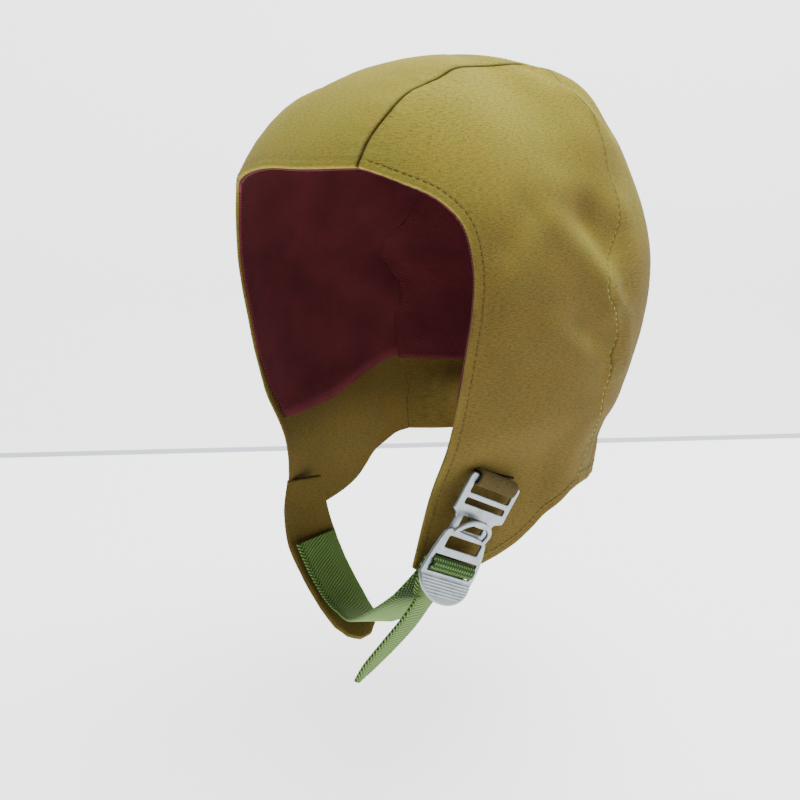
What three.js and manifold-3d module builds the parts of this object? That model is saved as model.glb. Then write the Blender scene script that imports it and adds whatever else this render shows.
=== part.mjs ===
// Paratrooper helmet: a soft canvas hood with ear flaps, a lining, a webbing chin strap and a
// two-part hook buckle. Millimetres, +Z up. The front is -Y and the wearer's left is +X.
// The origin is the crown seat, the highest point inside the lining, where a head holds it up.
import * as THREE from 'three';
import { mergeVertices } from 'three/addons/utils/BufferGeometryUtils.js';
import Module from 'manifold-3d';

const wasm = await Module();
wasm.setup();

// Driving sizes
const HEAD_CENTRE = new THREE.Vector3(0, 0, -103);
const CANVAS_WALL = 1.6;
const LINING_WALL = 1.1;
const PIECE_GAP = 0.3;
const SEAM_GAP = 0.45;
const SEAM_KEY = 8;
const FRONT_ROWS = 18;
const REAR_ROWS = 19;
const SIDE_COLUMNS = FRONT_ROWS;
const SIDE_ROWS = REAR_ROWS;
const CENTRE_COLUMNS = 12;
const WEBBING_WIDTH = 25;
const WEBBING_THICK = 1.5;
const PLATE_THICK = 1.5;

// Steps along the curved pieces
const CORNER_SEGMENTS = 3;
const ARCH_STEPS = 18;
const TONGUE_SEGMENTS = 12;
const TAB_STEPS = 24;
const STRAP_STEPS = 84;
const LOOP_STEPS = 20;

// Outside of the hood: distance from the head centre at five headings, a row for each elevation
const SECTIONS = [
  { elevation: -70, front: 242, frontQuarter: 183, side: 148, rearQuarter: 162, back: 169 },
  { elevation: -50, front: 145, frontQuarter: 117, side: 102, rearQuarter: 111, back: 113 },
  { elevation: -30, front: 117, frontQuarter: 102, side: 90, rearQuarter: 98, back: 105 },
  { elevation: -10, front: 104, frontQuarter: 97, side: 83, rearQuarter: 94, back: 107 },
  { elevation: 10, front: 105, frontQuarter: 101, side: 82, rearQuarter: 95, back: 108 },
  { elevation: 30, front: 109, frontQuarter: 107, side: 84, rearQuarter: 97, back: 109 },
  { elevation: 50, front: 109, frontQuarter: 109, side: 94, rearQuarter: 106, back: 104 },
  { elevation: 70, front: 107, frontQuarter: 106, side: 101, rearQuarter: 107.5, back: 106 },
  { elevation: 90, front: 106, frontQuarter: 106, side: 106, rearQuarter: 106, back: 106 },
];

// The left seam from the front hem over the crown to the nape, and the middle line beside each
// row as an angle from straight ahead, up over the crown and down the back
const SEAM = [
  { heading: 25.5, elevation: 33.9, middle: 33.3 },
  { heading: 26.5, elevation: 40, middle: 41 },
  { heading: 30, elevation: 48, middle: 50 },
  { heading: 33.5, elevation: 56, middle: 60 },
  { heading: 40, elevation: 62, middle: 68 },
  { heading: 54, elevation: 71.5, middle: 78 },
  { heading: 83, elevation: 77.3, middle: 89 },
  { heading: 112, elevation: 74.5, middle: 99 },
  { heading: 128, elevation: 71.5, middle: 106 },
  { heading: 134, elevation: 67.3, middle: 112 },
  { heading: 128, elevation: 62.8, middle: 118 },
  { heading: 122.5, elevation: 57.8, middle: 124 },
  { heading: 123, elevation: 52, middle: 131 },
  { heading: 122.2, elevation: 46, middle: 137.5 },
  { heading: 120.4, elevation: 38.5, middle: 144.5 },
  { heading: 120.7, elevation: 30.5, middle: 152 },
  { heading: 119.5, elevation: 23.5, middle: 158.5 },
  { heading: 113.5, elevation: 16.3, middle: 165 },
  { heading: 106.5, elevation: 10, middle: 171 },
  { heading: 105.4, elevation: 4.5, middle: 176.5 },
  { heading: 110.3, elevation: -2.8, middle: 183.5 },
  { heading: 114, elevation: -10, middle: 190 },
  { heading: 111.2, elevation: -17.5, middle: 197 },
  { heading: 111, elevation: -25.5, middle: 204 },
  { heading: 112.6, elevation: -33.5, middle: 210.5 },
  { heading: 115.7, elevation: -41, middle: 216.5 },
  { heading: 114.2, elevation: -47.3, middle: 221 },
  { heading: 114.7, elevation: -52.7, middle: 225.5 },
];

// The face opening's edge on the left, from the seam's front corner down to the flap's tip
const OPENING_EDGE = [
  { heading: 25.5, elevation: 33.9 },
  { heading: 37, elevation: 31.1 },
  { heading: 46.4, elevation: 28 },
  { heading: 52.3, elevation: 23 },
  { heading: 54.8, elevation: 14 },
  { heading: 54.8, elevation: 4.5 },
  { heading: 53.5, elevation: -7 },
  { heading: 51.5, elevation: -21.2 },
  { heading: 48.3, elevation: -35.2 },
  { heading: 43.2, elevation: -46.8 },
  { heading: 38.4, elevation: -54.6 },
];

// The hood sits a little askew: on the right the seam's front stretch lies wider and lower, and the
// opening's edge further forward. The seam's other rows and the bottom hem are as on the left.
const RIGHT_SEAM_FRONT = [
  { heading: 29, elevation: 28 },
  { heading: 29.5, elevation: 35.5 },
  { heading: 31.5, elevation: 45 },
  { heading: 34.5, elevation: 54 },
  { heading: 41, elevation: 61.5 },
];
const RIGHT_OPENING_EDGE = [
  { heading: 29, elevation: 28 },
  { heading: 33.5, elevation: 26.7 },
  { heading: 37.5, elevation: 24.6 },
  { heading: 40.5, elevation: 20.5 },
  { heading: 42.7, elevation: 13 },
  { heading: 43.8, elevation: 4.2 },
  { heading: 43.8, elevation: -8.3 },
  { heading: 43.3, elevation: -21.2 },
  { heading: 43.3, elevation: -35.5 },
  { heading: 41.5, elevation: -47.2 },
  { heading: 38.4, elevation: -54.6 },
];

// The bottom hem on the left, from the flap's tip back to the nape corner
const BOTTOM_HEM = [
  { heading: 38.4, elevation: -54.6 },
  { heading: 44, elevation: -57 },
  { heading: 53, elevation: -59.5 },
  { heading: 63, elevation: -61 },
  { heading: 72, elevation: -61.5 },
  { heading: 81, elevation: -60.9 },
  { heading: 88, elevation: -59.3 },
  { heading: 94.5, elevation: -57.1 },
  { heading: 101.5, elevation: -55.3 },
  { heading: 108.5, elevation: -53.5 },
  { heading: 114.7, elevation: -52.7 },
];

// Folds: each runs along its directions and rises or sinks by its height
const FOLDS = [
  { name: 'cheek crease', along: [[71, 28], [64, 19]], width: 5, height: -1.2 },
  { name: 'upper side ridge', along: [[86, 36], [104, 34], [121, 27]], width: 6, height: 1.6 },
  { name: 'hollow under the upper ridge', along: [[103, 26], [110, 16]], width: 6, height: -2.2 },
  { name: 'long side ridge, top', along: [[84, 26], [97, 16], [108, 3]], width: 6, height: 1.8 },
  { name: 'long side ridge, rear', along: [[112, -1], [119, -6], [122, -18]], width: 5, height: 1.3 },
  { name: 'hollow under the long ridge', along: [[92, -4], [108, -14]], width: 6, height: -1.9 },
  { name: 'lower side ridge', along: [[80, -5], [96, -14], [112, -19]], width: 6, height: 1.5 },
  { name: 'hollow behind the seam', along: [[118, 18], [117, 4]], width: 5, height: -1 },
  { name: 'crown puff', along: [[118, 65], [146, 57]], width: 8, height: 2.8 },
  { name: 'crest of the crown seam', along: [[121, 61], [124, 51]], width: 2.5, height: 1 },
  { name: 'dimple before the crown seam', along: [[124, 68], [120, 64]], width: 4, height: -2 },
  { name: 'valley behind the crown seam', along: [[128, 60], [138, 46]], width: 3.5, height: -2.2 },
  { name: 'front crown dimple', along: [[30, 57], [42, 63]], width: 5, height: -1.4 },
  { name: 'flap ripple', along: [[104, -42], [102, -52]], width: 6, height: 1.4 },
];

// The gather round the nape: the back is drawn in above its hem, and the hem stands out
const NAPE_GATHER = { from: 118, full: 142, elevation: -41, spread: 5, depth: 3 };
const NAPE_FLARE = { elevation: -50, spread: 6, height: 3.5 };

const radians = THREE.MathUtils.degToRad;

function direction(heading, elevation) {
  const h = radians(heading);
  const e = radians(elevation);
  return new THREE.Vector3(Math.sin(h) * Math.cos(e), -Math.cos(h) * Math.cos(e), Math.sin(e));
}

// Cosine series through the five headings of one section
function sectionSeries(row) {
  const values = [row.front, row.frontQuarter, row.side, row.rearQuarter, row.back];
  const last = values.length - 1;
  return values.map((_, order) => {
    let sum = 0;
    values.forEach((value, place) => {
      const share = place === 0 || place === last ? 0.5 : 1;
      sum += share * value * Math.cos((Math.PI * order * place) / last);
    });
    return (2 / last) * sum * (order === 0 || order === last ? 0.5 : 1);
  });
}

// One smooth curve through the sections for each order of the series
const SERIES = SECTIONS.map(sectionSeries);

function hermite(values, places, at) {
  let i = 0;
  while (i < places.length - 2 && at > places[i + 1]) i += 1;
  const step = places[i + 1] - places[i];
  const t = (at - places[i]) / step;
  const slope = (k) => {
    const low = Math.max(k - 1, 0);
    const high = Math.min(k + 1, places.length - 1);
    return (values[high] - values[low]) / (places[high] - places[low]);
  };
  const rise = values[i + 1] - values[i];
  const a = slope(i) * step;
  const b = slope(i + 1) * step;
  return values[i] + t * (a + t * (3 * rise - 2 * a - b + t * (a + b - 2 * rise)));
}

const ELEVATIONS = SECTIONS.map((row) => row.elevation);

function smoothStep(low, high, value) {
  const t = THREE.MathUtils.clamp((value - low) / (high - low), 0, 1);
  return t * t * (3 - 2 * t);
}

// Height of a fold at a direction: a rounded ridge or valley that dies away to its sides and ends
function foldHeight(fold, aim) {
  let nearest = Infinity;
  for (let i = 1; i < fold.along.length; i += 1) {
    const start = direction(...fold.along[i - 1]);
    const run = direction(...fold.along[i]).sub(start);
    const share = THREE.MathUtils.clamp(aim.clone().sub(start).dot(run) / run.lengthSq(), 0, 1);
    nearest = Math.min(nearest, aim.distanceTo(start.addScaledVector(run, share)));
  }
  const reach = THREE.MathUtils.radToDeg(nearest) / fold.width;
  return fold.height * Math.exp(-reach * reach);
}

function outerRadius(aim) {
  const elevation = THREE.MathUtils.radToDeg(Math.asin(THREE.MathUtils.clamp(aim.z, -1, 1)));
  const heading = Math.atan2(Math.abs(aim.x), -aim.y);
  let radius = 0;
  SERIES[0].forEach((_, order) => {
    const column = SERIES.map((series) => series[order]);
    radius += hermite(column, ELEVATIONS, elevation) * Math.cos(order * heading);
  });
  const mirrored = new THREE.Vector3(Math.abs(aim.x), aim.y, aim.z);
  FOLDS.forEach((fold) => {
    radius += foldHeight(fold, mirrored);
  });
  const behind = smoothStep(NAPE_GATHER.from, NAPE_GATHER.full, THREE.MathUtils.radToDeg(heading));
  const gather = (elevation - NAPE_GATHER.elevation) / NAPE_GATHER.spread;
  const flare = (elevation - NAPE_FLARE.elevation) / NAPE_FLARE.spread;
  radius -= behind * NAPE_GATHER.depth * Math.exp(-gather * gather);
  radius += behind * NAPE_FLARE.height * Math.exp(-flare * flare);
  return radius;
}

function onSurface(aim) {
  const unit = aim.clone().normalize();
  return unit.multiplyScalar(outerRadius(unit)).add(HEAD_CENTRE);
}

// Outward normal of the hood at a direction, from two short steps across it
function surfaceNormal(aim) {
  const step = 0.01;
  const unit = aim.clone().normalize();
  const first = new THREE.Vector3(0, 0, 1).cross(unit);
  if (first.length() < step) first.set(1, 0, 0);
  first.normalize();
  const second = unit.clone().cross(first);
  const slope = (way) => {
    const ahead = onSurface(unit.clone().addScaledVector(way, step));
    return ahead.sub(onSurface(unit.clone().addScaledVector(way, -step)));
  };
  const normal = slope(first).cross(slope(second)).normalize();
  return normal.dot(unit) < 0 ? normal.negate() : normal;
}

function curveOf(rows) {
  return new THREE.CatmullRomCurve3(rows.map((row) => direction(row.heading, row.elevation)));
}

const RIGHT_SEAM = SEAM.map((row, i) => ({ ...row, ...RIGHT_SEAM_FRONT[i] }));
const LEFT_SIDE = { seam: curveOf(SEAM), opening: curveOf(OPENING_EDGE) };
const RIGHT_SIDE = { seam: curveOf(RIGHT_SEAM), opening: curveOf(RIGHT_OPENING_EDGE) };
const hemCurve = curveOf(BOTTOM_HEM);
const middleCurve = new THREE.CatmullRomCurve3(SEAM.map((row) => direction(0, row.middle)));
const SEAM_TURN = SEAM_KEY / (SEAM.length - 1);

// Place on the seam for a row from 0 at the front hem to 1 at the nape, even on both stretches
function seamPlace(row) {
  if (row <= FRONT_ROWS) return (row / FRONT_ROWS) * SEAM_TURN;
  return SEAM_TURN + ((row - FRONT_ROWS) / REAR_ROWS) * (1 - SEAM_TURN);
}

// Seam direction moved a little towards the side panel (1) or the centre panel (-1), so that the
// two keep clear
function seamEdge(seam, place, towards) {
  const aim = seam.getPoint(place).normalize();
  const away = seam.getTangent(place).cross(aim).normalize();
  return aim.addScaledVector(away, (towards * SEAM_GAP) / 2 / outerRadius(aim));
}

// A patch of directions filled in between four edge curves that meet at its corners
function coonsDirections(top, bottom, left, right, columns, rows) {
  const grid = [];
  for (let j = 0; j <= rows; j += 1) {
    const v = j / rows;
    const line = [];
    for (let i = 0; i <= columns; i += 1) {
      const u = i / columns;
      const aim = new THREE.Vector3();
      aim.addScaledVector(top(i, u), 1 - v).addScaledVector(bottom(i, u), v);
      aim.addScaledVector(left(j, v), 1 - u).addScaledVector(right(j, v), u);
      aim.addScaledVector(top(0, 0), -(1 - u) * (1 - v));
      aim.addScaledVector(top(columns, 1), -u * (1 - v));
      aim.addScaledVector(bottom(0, 0), -(1 - u) * v);
      aim.addScaledVector(bottom(columns, 1), -u * v);
      line.push(aim.normalize());
    }
    grid.push(line);
  }
  return grid;
}

// Directions over one side panel, as if it were on the left
function sideDirections(side) {
  const top = (i) => seamEdge(side.seam, seamPlace(i), 1);
  const right = (j) => seamEdge(side.seam, seamPlace(FRONT_ROWS + j), 1);
  const left = (j, v) => (j === 0 ? top(0) : side.opening.getPoint(v).normalize());
  const bottom = (i, u) => {
    if (i === SIDE_COLUMNS) return right(SIDE_ROWS);
    return hemCurve.getPoint(u).normalize();
  };
  return coonsDirections(top, bottom, left, right, SIDE_COLUMNS, SIDE_ROWS);
}

function centreDirections() {
  const grid = [];
  for (let j = 0; j <= FRONT_ROWS + REAR_ROWS; j += 1) {
    const place = seamPlace(j);
    const left = seamEdge(LEFT_SIDE.seam, place, -1);
    const right = seamEdge(RIGHT_SIDE.seam, place, -1);
    const middle = middleCurve.getPoint(place).normalize();
    const line = [];
    for (let i = 0; i <= CENTRE_COLUMNS; i += 1) {
      const across = 1 - (2 * i) / CENTRE_COLUMNS;
      const edge = across > 0 ? left : right;
      const bow = across * across;
      const y = middle.y + (edge.y - middle.y) * bow;
      const z = middle.z + (edge.z - middle.z) * bow;
      line.push(new THREE.Vector3(edge.x * across, y, z).normalize());
    }
    grid.push(line);
  }
  return grid;
}

// A closed wall from a grid of directions: its outer face sits at one depth under the hood's
// outside and its inner face at another
function wallGeometry(grid, outerDepth, innerDepth) {
  const rows = grid.length;
  const columns = grid[0].length;
  const positions = [];
  [outerDepth, innerDepth].forEach((depth) => {
    grid.forEach((line) => {
      line.forEach((aim) => {
        const point = onSurface(aim).addScaledVector(surfaceNormal(aim), -depth);
        positions.push(point.x, point.y, point.z);
      });
    });
  });
  const outer = (j, i) => j * columns + i;
  const inner = (j, i) => rows * columns + j * columns + i;
  const index = [];
  const quad = (a, b, c, d) => index.push(a, b, c, a, c, d);
  for (let j = 0; j < rows - 1; j += 1) {
    for (let i = 0; i < columns - 1; i += 1) {
      quad(outer(j, i), outer(j + 1, i), outer(j + 1, i + 1), outer(j, i + 1));
      quad(inner(j, i), inner(j, i + 1), inner(j + 1, i + 1), inner(j + 1, i));
    }
  }
  for (let i = 0; i < columns - 1; i += 1) {
    const end = rows - 1;
    quad(outer(0, i), outer(0, i + 1), inner(0, i + 1), inner(0, i));
    quad(outer(end, i + 1), outer(end, i), inner(end, i), inner(end, i + 1));
  }
  for (let j = 0; j < rows - 1; j += 1) {
    const end = columns - 1;
    quad(outer(j + 1, 0), outer(j, 0), inner(j, 0), inner(j + 1, 0));
    quad(outer(j, end), outer(j + 1, end), inner(j + 1, end), inner(j, end));
  }
  return bufferOf(positions, index);
}

function bufferOf(positions, index) {
  const geometry = new THREE.BufferGeometry();
  geometry.setAttribute('position', new THREE.Float32BufferAttribute(positions, 3));
  geometry.setIndex(index);
  return geometry;
}

function mirrorGeometry(geometry) {
  const copy = geometry.clone();
  copy.applyMatrix4(new THREE.Matrix4().makeScale(-1, 1, 1));
  const index = copy.getIndex();
  for (let i = 0; i < index.count; i += 3) {
    const swap = index.getX(i + 1);
    index.setX(i + 1, index.getX(i + 2));
    index.setX(i + 2, swap);
  }
  return copy;
}

function solidOf(geometry) {
  const bare = new THREE.BufferGeometry();
  bare.setAttribute('position', geometry.getAttribute('position').clone());
  if (geometry.getIndex()) bare.setIndex(geometry.getIndex().clone());
  const merged = mergeVertices(bare, 1e-4);
  const vertProperties = new Float32Array(merged.getAttribute('position').array);
  const triVerts = new Uint32Array(merged.getIndex().array);
  return new wasm.Manifold(new wasm.Mesh({ numProp: 3, vertProperties, triVerts }));
}

function geometryOf(solid) {
  const mesh = solid.getMesh();
  return bufferOf(Array.from(mesh.vertProperties), Array.from(mesh.triVerts));
}

// Frame of a buckle plate: across the webbing, down its length and out from the cheek
const PLATE_ACROSS = new THREE.Vector3(0.035, 0.884, -0.46).normalize();
const PLATE_DOWN = new THREE.Vector3(-0.18, -0.4, -0.9);
PLATE_DOWN.addScaledVector(PLATE_ACROSS, -PLATE_DOWN.dot(PLATE_ACROSS)).normalize();
const PLATE_OUT = PLATE_DOWN.clone().cross(PLATE_ACROSS).normalize();
const SLIT_MIDDLE = new THREE.Vector3(62.5, -24, -179);
const UPPER_LIFT = 4.4;
const LOWER_DROP = 38;
const LOWER_LIFT = 2.8;
const LOWER_SHIFT = -2.6;
const BUCKLE_MIDDLE = -6.1;

function plateFrame(shift, down, lift) {
  const origin = SLIT_MIDDLE.clone().addScaledVector(PLATE_OUT, lift);
  origin.addScaledVector(PLATE_ACROSS, BUCKLE_MIDDLE + shift).addScaledVector(PLATE_DOWN, down);
  const frame = new THREE.Matrix4().makeBasis(PLATE_ACROSS, PLATE_DOWN.clone().negate(), PLATE_OUT);
  return frame.setPosition(origin);
}

const UPPER_FRAME = plateFrame(0, 0, UPPER_LIFT);
const LOWER_FRAME = plateFrame(LOWER_SHIFT, LOWER_DROP, UPPER_LIFT + LOWER_LIFT);

function roundedWindow(left, right, high, low, radius) {
  const hole = new THREE.Path();
  hole.moveTo(left + radius, low);
  hole.lineTo(right - radius, low);
  hole.absarc(right - radius, low + radius, radius, -Math.PI / 2, 0);
  hole.lineTo(right, high - radius);
  hole.absarc(right - radius, high - radius, radius, 0, Math.PI / 2);
  hole.lineTo(left + radius, high);
  hole.absarc(left + radius, high - radius, radius, Math.PI / 2, Math.PI);
  hole.lineTo(left, low + radius);
  hole.absarc(left + radius, low + radius, radius, Math.PI, 1.5 * Math.PI);
  return hole;
}

function extruded(shape, thick, segments = CORNER_SEGMENTS) {
  const options = { depth: thick, bevelEnabled: false, curveSegments: segments };
  return new THREE.ExtrudeGeometry(shape, options).translate(0, 0, -thick / 2);
}

// Upper buckle, widths from its middle and heights up from the slit, so mostly negative
const UPPER = {
  top: 1.6, barBottom: -1.5, halfWidth: 15.7, windowLeft: -12, windowRight: 13, barTwoTop: -7.1,
  barTwoBottom: -9.6, slotBottom: -12.5, bandBottom: -17.7, shoulder: -15.6, neckTop: -18.2,
  neckLeft: -12.4, neckRight: 10.6, neckWindowLeft: -8.4, neckWindowRight: 6.6,
  neckWindowBottom: -24, bottom: -26.3, corner: 1.8, windowCorner: 0.8,
};

function upperBuckle() {
  const plate = new THREE.Shape();
  const { top, halfWidth, corner, shoulder, neckTop, neckLeft, neckRight, bottom } = UPPER;
  plate.moveTo(-halfWidth + corner, top);
  plate.quadraticCurveTo(-halfWidth, top, -halfWidth, top - corner);
  plate.lineTo(-halfWidth, shoulder);
  plate.lineTo(-halfWidth + corner, shoulder - corner);
  plate.quadraticCurveTo(neckLeft, neckTop, neckLeft, neckTop - corner);
  plate.lineTo(neckLeft, bottom + corner);
  plate.lineTo(neckLeft + corner, bottom);
  plate.lineTo(neckRight - corner, bottom);
  plate.lineTo(neckRight, bottom + corner);
  plate.lineTo(neckRight, neckTop - corner);
  plate.quadraticCurveTo(neckRight, neckTop, halfWidth - corner, shoulder - corner);
  plate.lineTo(halfWidth, shoulder);
  plate.lineTo(halfWidth, top - corner);
  plate.quadraticCurveTo(halfWidth, top, halfWidth - corner, top);
  plate.closePath();
  const { windowLeft, windowRight, neckWindowLeft, neckWindowRight, windowCorner } = UPPER;
  const { barBottom, barTwoTop, barTwoBottom, slotBottom, bandBottom, neckWindowBottom } = UPPER;
  const window = roundedWindow(windowLeft, windowRight, barBottom, barTwoTop, windowCorner);
  const slot = roundedWindow(windowLeft, windowRight, barTwoBottom, slotBottom, windowCorner);
  const neckWindow = roundedWindow(
    neckWindowLeft, neckWindowRight, bandBottom, neckWindowBottom, windowCorner,
  );
  plate.holes.push(window, slot, neckWindow);
  return extruded(plate, PLATE_THICK).applyMatrix4(UPPER_FRAME);
}

// Lower buckle, heights up from the middle of its upper strap slot
const LOWER = {
  leftTop: 14, rightTop: 12.9, leftTopHalf: 12.9, rightTopHalf: 11.4, waistHalf: 16,
  waistHeight: -4, windowHalf: 10.4, windowTop: 10.8, windowBottom: 5.2, slotHalf: 13.2,
  slotTop: 1.5, barTop: -1.6, barBottom: -3.9, slotBottom: -6.4, plateBottom: -8.4,
  archBand: 2.2, archThick: 1.7, lipMiddle: 2, lipHeight: 18.9, lipFront: 3, lipDepth: 6.6,
  lipHalf: 3.6, lipThick: 1.4, tongueLength: 11.8, tongueTilt: 28, tongueRoot: 1, ribs: 6,
  ribStep: 1.35, ribHigh: 0.3, ribWide: 0.7, ribShare: 0.9, corner: 2.4, shoulder: 2,
  windowCorner: 0.8, slotCorner: 0.5,
};

// The hook loop's middle line: it stands up from the plate and bows out over the upper buckle
const ARCH_ROUTE = [
  { across: -9, height: 11.8, lift: 0 },
  { across: -8.2, height: 15, lift: 1.3 },
  { across: -6, height: 18, lift: 2.5 },
  { across: -2.5, height: 19.9, lift: 3.1 },
  { across: 2, height: 20.3, lift: 3.2 },
  { across: 6.4, height: 19, lift: 2.9 },
  { across: 9.1, height: 16.4, lift: 2 },
  { across: 9.9, height: 13.6, lift: 0.8 },
  { across: 9.8, height: 11.4, lift: 0 },
];

function lowerPlate() {
  const plate = new THREE.Shape();
  const { leftTop, rightTop, leftTopHalf, rightTopHalf, corner, shoulder } = LOWER;
  const { waistHalf, waistHeight, plateBottom } = LOWER;
  plate.moveTo(-leftTopHalf + corner, leftTop);
  plate.quadraticCurveTo(-leftTopHalf, leftTop, -leftTopHalf - 1, leftTop - corner);
  plate.quadraticCurveTo(-waistHalf, shoulder, -waistHalf, waistHeight);
  plate.lineTo(-waistHalf, plateBottom);
  plate.lineTo(waistHalf, plateBottom);
  plate.lineTo(waistHalf, waistHeight);
  plate.quadraticCurveTo(waistHalf, shoulder, rightTopHalf + 1, rightTop - corner);
  plate.quadraticCurveTo(rightTopHalf, rightTop, rightTopHalf - corner, rightTop);
  plate.closePath();
  const { windowHalf, windowTop, windowBottom, windowCorner } = LOWER;
  const { slotHalf, slotTop, barTop, barBottom, slotBottom, slotCorner } = LOWER;
  plate.holes.push(
    roundedWindow(-windowHalf, windowHalf, windowTop, windowBottom, windowCorner),
    roundedWindow(-slotHalf, slotHalf, slotTop, barTop, slotCorner),
    roundedWindow(-slotHalf, slotHalf, barBottom, slotBottom, slotCorner),
  );
  return extruded(plate, PLATE_THICK);
}

// The hook loop as a flat band set on edge to its own curve
function hookArch() {
  const points = ARCH_ROUTE.map((row) => new THREE.Vector3(row.across, row.height, row.lift));
  const rows = points.map((middle, i) => {
    const before = points[Math.max(i - 1, 0)];
    const after = points[Math.min(i + 1, points.length - 1)];
    const along = after.clone().sub(before);
    const across = new THREE.Vector3(-along.y, along.x, 0).normalize();
    return { middle, across, half: LOWER.archBand / 2 };
  });
  return bandGeometry(stationsThrough(rows, ARCH_STEPS), LOWER.archThick);
}

// The loop's lip turns back through the upper buckle's neck window
function hookLip() {
  const lip = new THREE.BoxGeometry(2 * LOWER.lipHalf, LOWER.lipThick, LOWER.lipDepth);
  return lip.translate(LOWER.lipMiddle, LOWER.lipHeight, LOWER.lipFront - LOWER.lipDepth / 2);
}

function lowerTongue() {
  const tongue = new THREE.Shape();
  tongue.moveTo(-LOWER.waistHalf, 0);
  tongue.absellipse(0, 0, LOWER.waistHalf, LOWER.tongueLength, Math.PI, 2 * Math.PI, false);
  tongue.lineTo(LOWER.waistHalf, LOWER.tongueRoot);
  tongue.lineTo(-LOWER.waistHalf, LOWER.tongueRoot);
  tongue.closePath();
  let solid = solidOf(extruded(tongue, PLATE_THICK, TONGUE_SEGMENTS));
  for (let rib = 1; rib <= LOWER.ribs; rib += 1) {
    const down = rib * LOWER.ribStep;
    const chord = LOWER.waistHalf * Math.sqrt(1 - (down / LOWER.tongueLength) ** 2);
    const half = chord * LOWER.ribShare;
    const bar = new THREE.BoxGeometry(2 * half, LOWER.ribWide, 2 * LOWER.ribHigh);
    solid = solid.add(solidOf(bar.translate(0, -down, PLATE_THICK / 2)));
  }
  const bent = geometryOf(solid);
  bent.rotateX(-radians(LOWER.tongueTilt));
  return bent.translate(0, LOWER.plateBottom, 0);
}

function lowerBuckle() {
  const body = solidOf(lowerPlate()).add(solidOf(hookArch())).add(solidOf(hookLip()));
  return geometryOf(body.add(solidOf(lowerTongue()))).applyMatrix4(LOWER_FRAME);
}

// A flat band through stations: each has its middle, the way across it and a half width
function bandGeometry(stations, thick) {
  const positions = [];
  const index = [];
  const middles = stations.map((station) => station.middle);
  stations.forEach((station, i) => {
    const before = middles[Math.max(i - 1, 0)];
    const after = middles[Math.min(i + 1, middles.length - 1)];
    const along = after.clone().sub(before).normalize();
    const across = station.across.clone();
    across.addScaledVector(along, -across.dot(along)).normalize();
    const face = along.clone().cross(across).multiplyScalar(thick / 2);
    [[-1, -1], [1, -1], [1, 1], [-1, 1]].forEach(([side, level]) => {
      const corner = station.middle.clone().addScaledVector(across, side * station.half);
      corner.addScaledVector(face, level);
      positions.push(corner.x, corner.y, corner.z);
    });
  });
  const last = 4 * (stations.length - 1);
  for (let i = 0; i < stations.length - 1; i += 1) {
    for (let k = 0; k < 4; k += 1) {
      const a = 4 * i + k;
      const b = 4 * i + ((k + 1) % 4);
      index.push(a, b, b + 4, a, b + 4, a + 4);
    }
  }
  index.push(0, 2, 1, 0, 3, 2, last, last + 1, last + 2, last, last + 2, last + 3);
  return bufferOf(positions, index);
}

// Even stations along hand-picked rows of middle, way across and half width
function stationsThrough(rows, steps) {
  const path = new THREE.CatmullRomCurve3(rows.map((row) => row.middle));
  const ways = new THREE.CatmullRomCurve3(rows.map((row) => row.across));
  const widths = rows.map((row) => row.half);
  const places = rows.map((_, i) => i / (rows.length - 1));
  const stations = [];
  for (let i = 0; i <= steps; i += 1) {
    const t = i / steps;
    const half = hermite(widths, places, t);
    stations.push({ middle: path.getPoint(t), across: ways.getPoint(t).normalize(), half });
  }
  return stations;
}

// The chin tab that the right flap runs on as, bent in under the jaw, from the flap to its end
const TAB_THICK = 3;
const TAB_ROUTE = [
  { x: -49.5, y: -50, z: -201, half: 10 },
  { x: -47.5, y: -51, z: -216, half: 13 },
  { x: -42.5, y: -51, z: -231, half: 15 },
  { x: -33, y: -49.5, z: -246, half: 15 },
  { x: -22, y: -48, z: -258, half: 15 },
  { x: -13, y: -47, z: -266, half: 13.5 },
  { x: -8, y: -46.5, z: -270, half: 10 },
  { x: -5, y: -46, z: -272.5, half: 4 },
];
const TAB_ACROSS = new THREE.Vector3(0.05, 0.96, -0.2).normalize();

function chinTab() {
  const rows = TAB_ROUTE.map((row) => ({
    middle: new THREE.Vector3(row.x, row.y, row.z), across: TAB_ACROSS, half: row.half,
  }));
  return bandGeometry(stationsThrough(rows, TAB_STEPS), TAB_THICK);
}

// The webbing round the lower buckle's bar, in the plate's own frame: height, and lift off it
const BAR_HALF = 12.8;
const BAR_WRAP = [
  { height: -8.6, lift: -4.8 },
  { height: -4.8, lift: -4.7 },
  { height: -1.9, lift: -3.9 },
  { height: -0.45, lift: -1.8 },
  { height: -0.4, lift: 0.2 },
  { height: -1.25, lift: 1.75 },
  { height: -2.75, lift: 2.05 },
  { height: -4.3, lift: 1.75 },
  { height: -5.15, lift: 0.2 },
  { height: -5.4, lift: -1.5 },
  { height: -7.8, lift: -2.7 },
];

// Chin strap from where it leaves the chin tab to the lower buckle, as hand-picked middles
const CHIN_RUN = [
  { x: -10, y: -47.5, z: -261 },
  { x: 1, y: -49.5, z: -260 },
  { x: 12, y: -52, z: -254.5 },
  { x: 23, y: -54.5, z: -247 },
  { x: 34, y: -56, z: -238.5 },
  { x: 44, y: -55.5, z: -229.5 },
];
const TAB_STITCHED = [2, 3, 4];
const STITCH_GAP = 0.85;
const CHIN_ACROSS = new THREE.Vector3(0, 0.95, -0.3);

// The free end, hanging forward and down from behind the tongue to its slanted cut
const FREE_END = [
  { x: 52.5, y: -57, z: -227, half: 12 },
  { x: 52, y: -66, z: -236, half: 10.5 },
  { x: 50, y: -76, z: -245, half: 9 },
  { x: 47, y: -85, z: -254, half: 6.5 },
  { x: 45, y: -90, z: -260, half: 2.5 },
];
const FREE_ACROSS = new THREE.Vector3(-0.45, 0.6, -0.66);

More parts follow.
